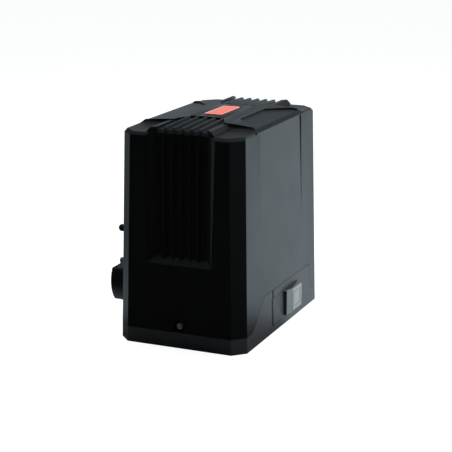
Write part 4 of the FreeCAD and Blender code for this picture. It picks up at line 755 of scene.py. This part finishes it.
def lathe(name: str, profile: Profile, sides: int, hexagon_from: int) -> bpy.types.Object:
    """Turn a profile about Z, with its last loops on a hexagon.

    Args:
        name: name of the piece.
        profile: radius and height of each loop, from the first end to the last.
        sides: number of points in each loop.
        hexagon_from: index of the first loop that is a hexagon.

    Returns:
        The turned piece, its axis on Z.
    """
    outlines = []
    for index, (radius, height) in enumerate(profile):
        outline = []
        for step in range(sides):
            turn = 2 * math.pi * step / sides
            reach = radius
            if index >= hexagon_from:
                reach *= math.cos(math.pi / 6) / math.cos(turn % (math.pi / 3) - math.pi / 6)
            outline.append((reach * math.cos(turn), reach * math.sin(turn), height))
        outlines.append(outline)
    return skinned(name, outlines, crease=32.0)


def swept_wire(name: str, path: list[Vector], radius: float, sides: int) -> bpy.types.Object:
    """Sweep a round wire along a path.

    Args:
        name: name of the piece.
        path: points of the centreline.
        radius: radius of the wire.
        sides: number of points round the wire.

    Returns:
        The wire, with closed ends.
    """
    leaning_up = Vector((0, 0.2, 1))
    turns = [2 * math.pi * step / sides for step in range(sides)]
    outlines = []
    for index, point in enumerate(path):
        before, after = path[max(index - 1, 0)], path[min(index + 1, len(path) - 1)]
        along = (after - before).normalized()
        side = along.cross(leaning_up).normalized()
        rise = side.cross(along)
        outlines.append([
            point + radius * (math.cos(turn) * side + math.sin(turn) * rise)
            for turn in turns])
    return skinned(name, outlines)


def rounded_plate(
    name: str, half: tuple[float, float], thick: float, steps: Profile, corner: float
) -> bpy.types.Object:
    """Plate with rounded corners, whose top is made of inset outlines.

    Args:
        name: name of the piece.
        half: half width and half length.
        thick: height of the plate.
        steps: inset from the outline and depth under the top of each loop, side first.
        corner: corner radius of the outline.

    Returns:
        The plate, flat in XY, with its underside at the origin.
    """
    least_corner, arc_steps = 0.0002, 6
    outlines = []
    for inset, sunk in ((0.0, thick), *steps):
        radius = max(corner - inset, least_corner)
        wide, long = (size - inset - radius for size in half)
        outline = []
        for quarter, (su, sv) in enumerate(((1, 1), (-1, 1), (-1, -1), (1, -1))):
            for step in range(arc_steps + 1):
                turn = math.pi / 2 * (quarter + step / arc_steps)
                outline.append((
                    su * wide + radius * math.cos(turn),
                    sv * long + radius * math.sin(turn), thick - sunk))
        outlines.append(outline)
    return skinned(name, outlines, crease=40.0)


def placed(piece: bpy.types.Object, matrix: Matrix) -> bpy.types.Object:
    """Move a new piece's mesh into place, with its object left at the origin.

    Args:
        piece: the piece.
        matrix: where it goes.

    Returns:
        The same piece.
    """
    piece.data.transform(matrix)
    return piece


def one_piece(name: str, parts: list[bpy.types.Object]) -> bpy.types.Object:
    """Join several new meshes into one piece.

    Args:
        name: name of the joined piece.
        parts: the meshes, each an object at the origin.

    Returns:
        The joined piece.
    """
    work = bmesh.new()
    for part in parts:
        work.from_mesh(part.data)
        bpy.data.objects.remove(part)
    return finished(name, work)


# ------------------------------------------------------------------------ sub-assemblies


@dataclass
class SubAssembly:
    """A group of pieces that is dressed together."""

    wardrobe: Wardrobe
    body: str = "housing"
    made: list[str] = field(default_factory=list)

    def stand_for(self, piece: bpy.types.Object, node: str, finish: str, body: str) -> None:
        """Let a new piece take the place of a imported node.

        Args:
            piece: the new piece.
            node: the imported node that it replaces.
            finish: name of its finish.
            body: the body that it rides on.
        """
        self.wardrobe.dress(piece, finish)
        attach(piece, body)
        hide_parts(node)
        self.made.append(piece.name)
        LOG.info("%s: %d faces stand for %s", piece.name, len(piece.data.polygons), node)

    def keep(self, *nodes: str) -> None:
        """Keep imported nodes, each in the finish of its own slot.

        Args:
            nodes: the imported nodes.
        """
        for node in nodes:
            self.wardrobe.dress(frame["nodes"][node], SLOT_OF[node])
            self.made.append(node)
            LOG.info("%s: packed shape in %s", node, SLOT_OF[node])


@dataclass
class Shells(SubAssembly):
    """Moulded cover with its badge, base tray and the two end screws."""

    cover_rounding: float = 0.0007
    recess_rim: Rim = Rim(away_x=0.04562, least_length=0.1, width=0.0040)
    base_rounding: float = 0.0006
    badge_corner: float = 0.0022
    # inset and depth under the top: the turned down rim, then the flat field
    badge_steps: Profile = ((0.0, 0.0004), (0.00012, 0.00012), (0.0004, 0.0), (0.0030, 0.0))
    screw_sides: int = 36
    # radius and height of the shank, from its tip to the head
    screw_shank: Profile = ((0.0015, -0.019), (0.0023, -0.017), (0.0023, -0.0004))
    screw_head: float = 0.0030
    # shares of the head's radius and height: its edge, its dome, then down the socket
    head_shape: Profile = (
        (1.0, 0.0), (1.0, 0.45), (0.93, 0.78), (0.78, 1.0), (0.56, 1.0), (0.50, 0.94),
        (0.50, 0.25))
    socket_loops: int = 2

    def build(self) -> None:
        """Make and dress the shells."""
        self.stand_for(
            rounded_copy("cover", "cover_shell", self.cover_rounding, rim=self.recess_rim),
            "cover", "cover_plastic", self.body)
        self.stand_for(
            rounded_copy("base", "base_tray", self.base_rounding),
            "base", "base_plastic", self.body)
        self._badge()
        self._end_screws()
        self.keep("cable_grommet")

    def _badge(self) -> None:
        """Flat plate with a turned down rim and its own printed face."""
        low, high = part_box("badge")
        centre, half = (low + high) / 2, (high - low) / 2
        plate = rounded_plate(
            "badge_plate", (half.x, half.y), high.z - low.z, self.badge_steps,
            self.badge_corner)
        placed(plate, Matrix.Translation((centre.x, centre.y, low.z)))
        self.wardrobe.materials["badge_face"] = BadgePrint().build((half.x, half.y))
        self.stand_for(plate, "badge", "badge_face", self.body)

    def _end_screws(self) -> None:
        """Pan head screws with a hexagon socket, one at each end."""
        low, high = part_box("cover_screws")
        centre, head_radius = (low + high) / 2, (high.x - low.x) / 2
        profile = self.screw_shank + tuple(
            (head_radius * across, self.screw_head * up) for across, up in self.head_shape)
        parts = []
        for sign in (-1, 1):
            screw = lathe(
                "end_screw", profile, self.screw_sides, len(profile) - self.socket_loops)
            turn = Matrix.Rotation(math.radians(-90 * sign), 4, "X")
            spot = Vector((centre.x, sign * (high.y - self.screw_head), centre.z))
            parts.append(placed(screw, Matrix.Translation(spot) @ turn))
        self.stand_for(
            one_piece("end_screws", parts), "cover_screws", "zinc_steel", self.body)


@dataclass
class ReleaseDoor(SubAssembly):
    """Hinged door in the base panel with its lock, and the rod that it drives."""

    rounding: float = 0.00022
    barrel_rounding: float = 0.0002
    boss_rise: float = 0.0040
    cap_corner: float = 0.0016
    # inset and depth under the front: outer edge, frame and groove, then the pad
    cap_edge: Profile = ((0.0, 0.0006), (0.0002, 0.0002), (0.0006, 0.0))
    cap_frame: Profile = ((0.0043, 0.0), (0.0047, 0.0004), (0.0049, 0.0011))
    cap_pad: Profile = (
        (0.0058, 0.0011), (0.0061, 0.0008), (0.0064, 0.0003), (0.0072, 0.0003))

    def build(self) -> None:
        """Make and dress the door, its lock and the release rod."""
        leaf = rounded_copy("release_door", "door_leaf", self.rounding, pierced=True)
        self.stand_for(leaf, "release_door", "door_plastic", "door")
        self._two_tone(leaf)
        self._cap()
        self.stand_for(
            rounded_copy("key_cylinder", "lock_barrel", self.barrel_rounding),
            "key_cylinder", "lock_brass", "key_cylinder")
        self.keep("hinge_pin", "release_rod")

    def _two_tone(self, leaf: bpy.types.Object) -> None:
        """Give the raised boss round the lock its own paler plastic.

        Args:
            leaf: the door leaf, already dressed.
        """
        leaf.data.materials.append(self.wardrobe.materials["boss_plastic"])
        front = max(vertex.co.x for vertex in leaf.data.vertices)
        for face in leaf.data.polygons:
            if front - face.center.x < self.boss_rise:
                face.material_index = 1

    def _cap(self) -> None:
        """Square lock cover with a framed window pressed into it."""
        low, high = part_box("lock_cap")
        centre, half = (low + high) / 2, (high - low) / 2
        plate = rounded_plate(
            "lock_cover", (half.y, half.z), high.x - low.x,
            self.cap_edge + self.cap_frame + self.cap_pad, self.cap_corner)
        # the plate's own X, Y and Z become Y, Z and X
        upright = Matrix(((0, 0, 1, 0), (1, 0, 0, 0), (0, 1, 0, 0), (0, 0, 0, 1)))
        placed(plate, Matrix.Translation((low.x, centre.y, centre.z)) @ upright)
        self.stand_for(plate, "lock_cap", "cap_plastic", "lock_cap")


@dataclass
class GateSide(SubAssembly):
    """Pinion in its guard and the sprung limit lever."""

    rounding: float = 0.0005
    pinion_rounding: float = 0.0004
    spring_turns: int = 9
    spring_wire: float = 0.00055
    wire_sides: int = 10
    points_per_turn: int = 26
    end_crowding: float = 0.04

    def build(self) -> None:
        """Make and dress the gate side."""
        self.stand_for(
            rounded_copy("pinion_guard", "guard_hood", self.rounding),
            "pinion_guard", "guard_plastic", self.body)
        self.stand_for(
            rounded_copy("pinion", "rack_pinion", self.pinion_rounding),
            "pinion", "bearing_steel", "output")
        self.stand_for(
            rounded_copy("limit_switch_body", "switch_case", self.rounding),
            "limit_switch_body", "guard_plastic", self.body)
        self._spring()
        self.keep(
            "limit_lever", "lever_pin", "switch_bracket", "guard_screws", "pinion_screw",
            "pinion_key", "output_shaft")

    def _spring(self) -> None:
        """Coil spring round the limit lever, with its turns closer at both ends."""
        low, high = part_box("lever_spring")
        centre = (low + high) / 2
        radius = (high.z - low.z) / 2 - self.spring_wire
        first, last = low.x + self.spring_wire, high.x - self.spring_wire
        steps = self.points_per_turn * self.spring_turns
        path = []
        for step in range(steps + 1):
            share = step / steps
            turn = 2 * math.pi * self.spring_turns * share
            eased = share - math.sin(2 * math.pi * share) * self.end_crowding
            path.append(Vector((
                first + (last - first) * eased,
                centre.y + radius * math.cos(turn), centre.z + radius * math.sin(turn))))
        coil = swept_wire("limit_spring", path, self.spring_wire, self.wire_sides)
        self.stand_for(coil, "lever_spring", "spring_steel", "limit_lever")


@dataclass
class Works(SubAssembly):
    """Gearbox, worm drive, clutch and motor inside the cover."""

    rounding: float = 0.0008

    def build(self) -> None:
        """Dress the gearbox, the drive and the motor."""
        self.stand_for(
            rounded_copy("gearbox_cover", "gearbox_lid", self.rounding),
            "gearbox_cover", "cast_aluminium", self.body)
        self.keep(
            "gearbox_housing", "gearbox_cover_screws", "gearbox_foot_screws",
            "output_bearing", "inner_bearing", "worm_bearing", "motor_bearing",
            "rotor_bearing", "shaft_seal", "worm_wheel", "clutch_sleeve", "clutch_pin",
            "worm_shaft", "motor_lower_shield", "motor_upper_shield", "stator_core",
            "stator_windings", "rotor_core", "motor_bolts")


@dataclass
class Electrics(SubAssembly):
    """Control board on its carrier, transformer and motor capacitor."""

    def build(self) -> None:
        """Dress the board and what is on it."""
        self.keep(
            "board_carrier", "control_board", "board_screws", "terminal_blocks", "relays",
            "fuse_holder", "receiver_module", "microcontroller", "transformer_core",
            "transformer_coil", "motor_capacitor")


# --------------------------------------------------------------------------------- studio


@dataclass(frozen=True)
class Fade:
    """Smooth change from one level to another."""

    begins: float
    ends: float
    before: float
    after: float

    def add(self, tree: bpy.types.NodeTree) -> bpy.types.Node:
        """Add the node that makes this change.

        Args:
            tree: the tree that takes it.

        Returns:
            The node, with input Value and output Result.
        """
        return add_node(
            tree, "ShaderNodeMapRange",
            {"From Min": self.begins, "From Max": self.ends, "To Min": self.before,
             "To Max": self.after}, interpolation_type="SMOOTHSTEP")


@dataclass(frozen=True)
class Softbox:
    """Square soft lamp that looks at a point and doesn't show in reflections."""

    name: str
    place: Place
    aim: Place
    size: float
    watts: float

    def build(self) -> None:
        """Hang the lamp."""
        lamp = bpy.data.lights.new(self.name, "AREA")
        lamp.shape = "SQUARE"
        lamp.size = self.size
        lamp.energy = self.watts
        holder = bpy.data.objects.new(self.name, lamp)
        holder.visible_glossy = False
        bpy.context.scene.collection.objects.link(holder)
        turned = (Vector(self.aim) - Vector(self.place)).to_track_quat("-Z", "Y")
        holder.matrix_world = Matrix.Translation(self.place) @ turned.to_matrix().to_4x4()


@dataclass
class Studio:
    """Pale floor, soft lamps, surround and camera."""

    lamps: tuple[Softbox, ...] = (
        Softbox("right_softbox", (1.25, 0.75, 0.75), (0.0, 0.0, 0.15), 1.1, 10.0),
        Softbox("left_softbox", (-1.3, 0.35, 0.55), (0.0, 0.0, 0.15), 0.9, 6.0),
        Softbox("top_softbox", (-0.1, 0.35, 1.5), (0.0, 0.0, 0.25), 1.0, 24.0),
    )
    tint: Colour = (0.985, 1.17, 1.28)
    bright_side: Place = (0.20, 0.98, 0.0)
    # brightness from straight away from the bright side, at 0, to straight at it, at 1
    brightness: Profile = (
        (0.0, 0.008), (0.30, 0.015), (0.40, 0.05), (0.50, 0.10), (0.60, 0.17),
        (0.68, 0.40), (0.78, 0.88), (1.0, 1.0))
    strip_side: Place = (-0.97, -0.24, 0.0)
    strip: Fade = Fade(begins=0.90, ends=0.99, before=0.0, after=0.34)
    walls: Fade = Fade(begins=-0.05, ends=0.30, before=1.0, after=0.14)
    zenith: Fade = Fade(begins=0.55, ends=0.95, before=0.0, after=0.16)
    floor_half: float = 12.0
    floor_grey: float = 0.42
    paper_grey: float = 0.30
    paper_glow: float = 0.93
    azimuth: float = 23.35
    elevation: float = 14.57
    distance: float = 1.8804
    aim: Place = (0.0, 0.0, 0.15)
    slide_right: float = 0.00462
    slide_up: float = -0.02021
    lens: float = 110.4
    sensor: float = 36.0

    def build(self) -> None:
        """Set the stage."""
        bpy.context.scene.view_settings.view_transform = "Standard"
        self._surround()
        self._floor()
        for lamp in self.lamps:
            lamp.build()
        self._camera()
        LOG.info("studio: floor, surround, %d lamps and camera", len(self.lamps))

    def _falloff(
        self, tree: bpy.types.NodeTree, source: bpy.types.Node, output: str
    ) -> bpy.types.Node:
        """Brightness of the studio: bright behind, dark in front, a soft strip at the left.

        Args:
            tree: the shader tree.
            source: node that gives the direction from the object.
            output: its output that does so.

        Returns:
            The node that gives the brightness.
        """
        unit = add_node(tree, "ShaderNodeVectorMath", operation="NORMALIZE")
        facing = add_node(
            tree, "ShaderNodeVectorMath", {1: self.bright_side}, operation="DOT_PRODUCT")
        centred = add_node(
            tree, "ShaderNodeMath", {1: 0.5, 2: 0.5}, operation="MULTIPLY_ADD")
        ramp = add_node(tree, "ShaderNodeFloatCurve")
        points = ramp.mapping.curves[0].points
        for place, level in self.brightness[1:-1]:
            points.new(place, level)
        points[0].location, points[-1].location = self.brightness[0], self.brightness[-1]
        ramp.mapping.update()
        beside = add_node(
            tree, "ShaderNodeVectorMath", {1: self.strip_side}, operation="DOT_PRODUCT")
        strip = self.strip.add(tree)
        total = add_node(tree, "ShaderNodeMath", operation="ADD")
        wire(
            tree,
            (source, output, unit, 0),
            (unit, "Vector", facing, 0),
            (facing, "Value", centred, 0),
            (centred, "Value", ramp, "Value"),
            (unit, "Vector", beside, 0),
            (beside, "Value", strip, "Value"),
            (ramp, "Value", total, 0),
            (strip, "Result", total, 1))
        return total

    @staticmethod
    def _seen_directly(tree: bpy.types.NodeTree) -> bpy.types.Node:
        """Tell what the camera sees, also through glass, from what lights and reflects.

        Args:
            tree: the shader tree.

        Returns:
            The node whose Value is one for what the camera sees.
        """
        path = add_node(tree, "ShaderNodeLightPath")
        either = add_node(tree, "ShaderNodeMath", operation="MAXIMUM")
        wire(
            tree,
            (path, "Is Camera Ray", either, 0),
            (path, "Is Transmission Ray", either, 1))
        return either

    def _surround(self) -> None:
        """World: white behind the object, a graded studio to reflections and fill."""
        world = bpy.data.worlds.new("studio_surround")
        bpy.context.scene.world = world
        world.use_nodes = True
        tree = world.node_tree
        where = add_node(tree, "ShaderNodeTexCoord")
        around = self._falloff(tree, where, "Generated")
        split = add_node(tree, "ShaderNodeSeparateXYZ")
        walls = self.walls.add(tree)
        zenith = self.zenith.add(tree)
        level = add_node(tree, "ShaderNodeMath", operation="MULTIPLY")
        total = add_node(tree, "ShaderNodeMath", operation="ADD")
        graded = add_mix(tree, A=(0.0, 0.0, 0.0), B=self.tint)
        direct = self._seen_directly(tree)
        shown = add_mix(tree, B=(1.0, 1.0, 1.0))
        wire(
            tree,
            (where, "Generated", split, "Vector"),
            (split, "Z", walls, "Value"),
            (around, "Value", level, 0),
            (walls, "Result", level, 1),
            (split, "Z", zenith, "Value"),
            (level, "Value", total, 0),
            (zenith, "Result", total, 1),
            (total, "Value", graded, "Factor"),
            (direct, "Value", shown, "Factor"),
            (graded, "Result", shown, "A"),
            (shown, "Result", tree.nodes["Background"], "Color"))

    def _floor(self) -> None:
        """Floor: white with the object's soft shadow, graded to reflections."""
        work = bmesh.new()
        reach = self.floor_half
        work.faces.new([work.verts.new((x, y, 0.0)) for x, y in (
            (-reach, -reach), (reach, -reach), (reach, reach), (-reach, reach))])
        floor = finished("studio_floor", work)
        material, tree, shader = new_material("studio_floor", {
            "Base Color": (*[self.floor_grey] * 3, 1), "Roughness": 0.9,
            "Specular IOR Level": 0.0})
        shape = add_node(tree, "ShaderNodeNewGeometry")
        around = self._falloff(tree, shape, "Position")
        glow = add_node(tree, "ShaderNodeEmission", {"Color": (*self.tint, 1)})
        white = add_node(tree, "ShaderNodeEmission", {"Strength": self.paper_glow})
        paper = add_node(
            tree, "ShaderNodeBsdfDiffuse", {"Color": (*[self.paper_grey] * 3, 1)})
        bright = add_node(tree, "ShaderNodeAddShader")
        path = add_node(tree, "ShaderNodeLightPath")
        mirrored = add_node(tree, "ShaderNodeMixShader")
        direct = self._seen_directly(tree)
        shown = add_node(tree, "ShaderNodeMixShader")
        wire(
            tree,
            (around, "Value", glow, "Strength"),
            (white, "Emission", bright, 0),
            (paper, "BSDF", bright, 1),
            (path, "Is Glossy Ray", mirrored, "Fac"),
            (shader, "BSDF", mirrored, 1),
            (glow, "Emission", mirrored, 2),
            (direct, "Value", shown, "Fac"),
            (mirrored, "Shader", shown, 1),
            (bright, "Shader", shown, 2),
            (shown, "Shader", tree.nodes["Material Output"], "Surface"))
        floor.data.materials.append(material)

    def _camera(self) -> None:
        """Long lens from the front left of the user side, a little above the roof."""
        turn, tilt = math.radians(self.azimuth), math.radians(self.elevation)
        right = Vector((math.cos(turn), math.sin(turn), 0.0))
        back = Vector((
            math.sin(turn) * math.cos(tilt), -math.cos(turn) * math.cos(tilt), math.sin(tilt)))
        up = back.cross(right)
        place = (Vector(self.aim) + self.distance * back + self.slide_right * right
                 + self.slide_up * up)
        camera = bpy.data.cameras.new("studio_camera")
        camera.lens = self.lens
        camera.sensor_width = self.sensor
        holder = bpy.data.objects.new("studio_camera", camera)
        bpy.context.scene.collection.objects.link(holder)
        axes = Matrix((right, up, back)).transposed().to_4x4()
        holder.matrix_world = Matrix.Translation(place) @ axes
        bpy.context.scene.camera = holder


def main() -> None:
    """Build the studio, then dress every sub-assembly."""
    Studio().build()
    wardrobe = Wardrobe()
    for kind in (Shells, ReleaseDoor, GateSide, Works, Electrics):
        part = kind(wardrobe)
        part.build()
        LOG.info("%s: %d pieces", kind.__name__, len(part.made))


if __name__ == "__main__":
    main()
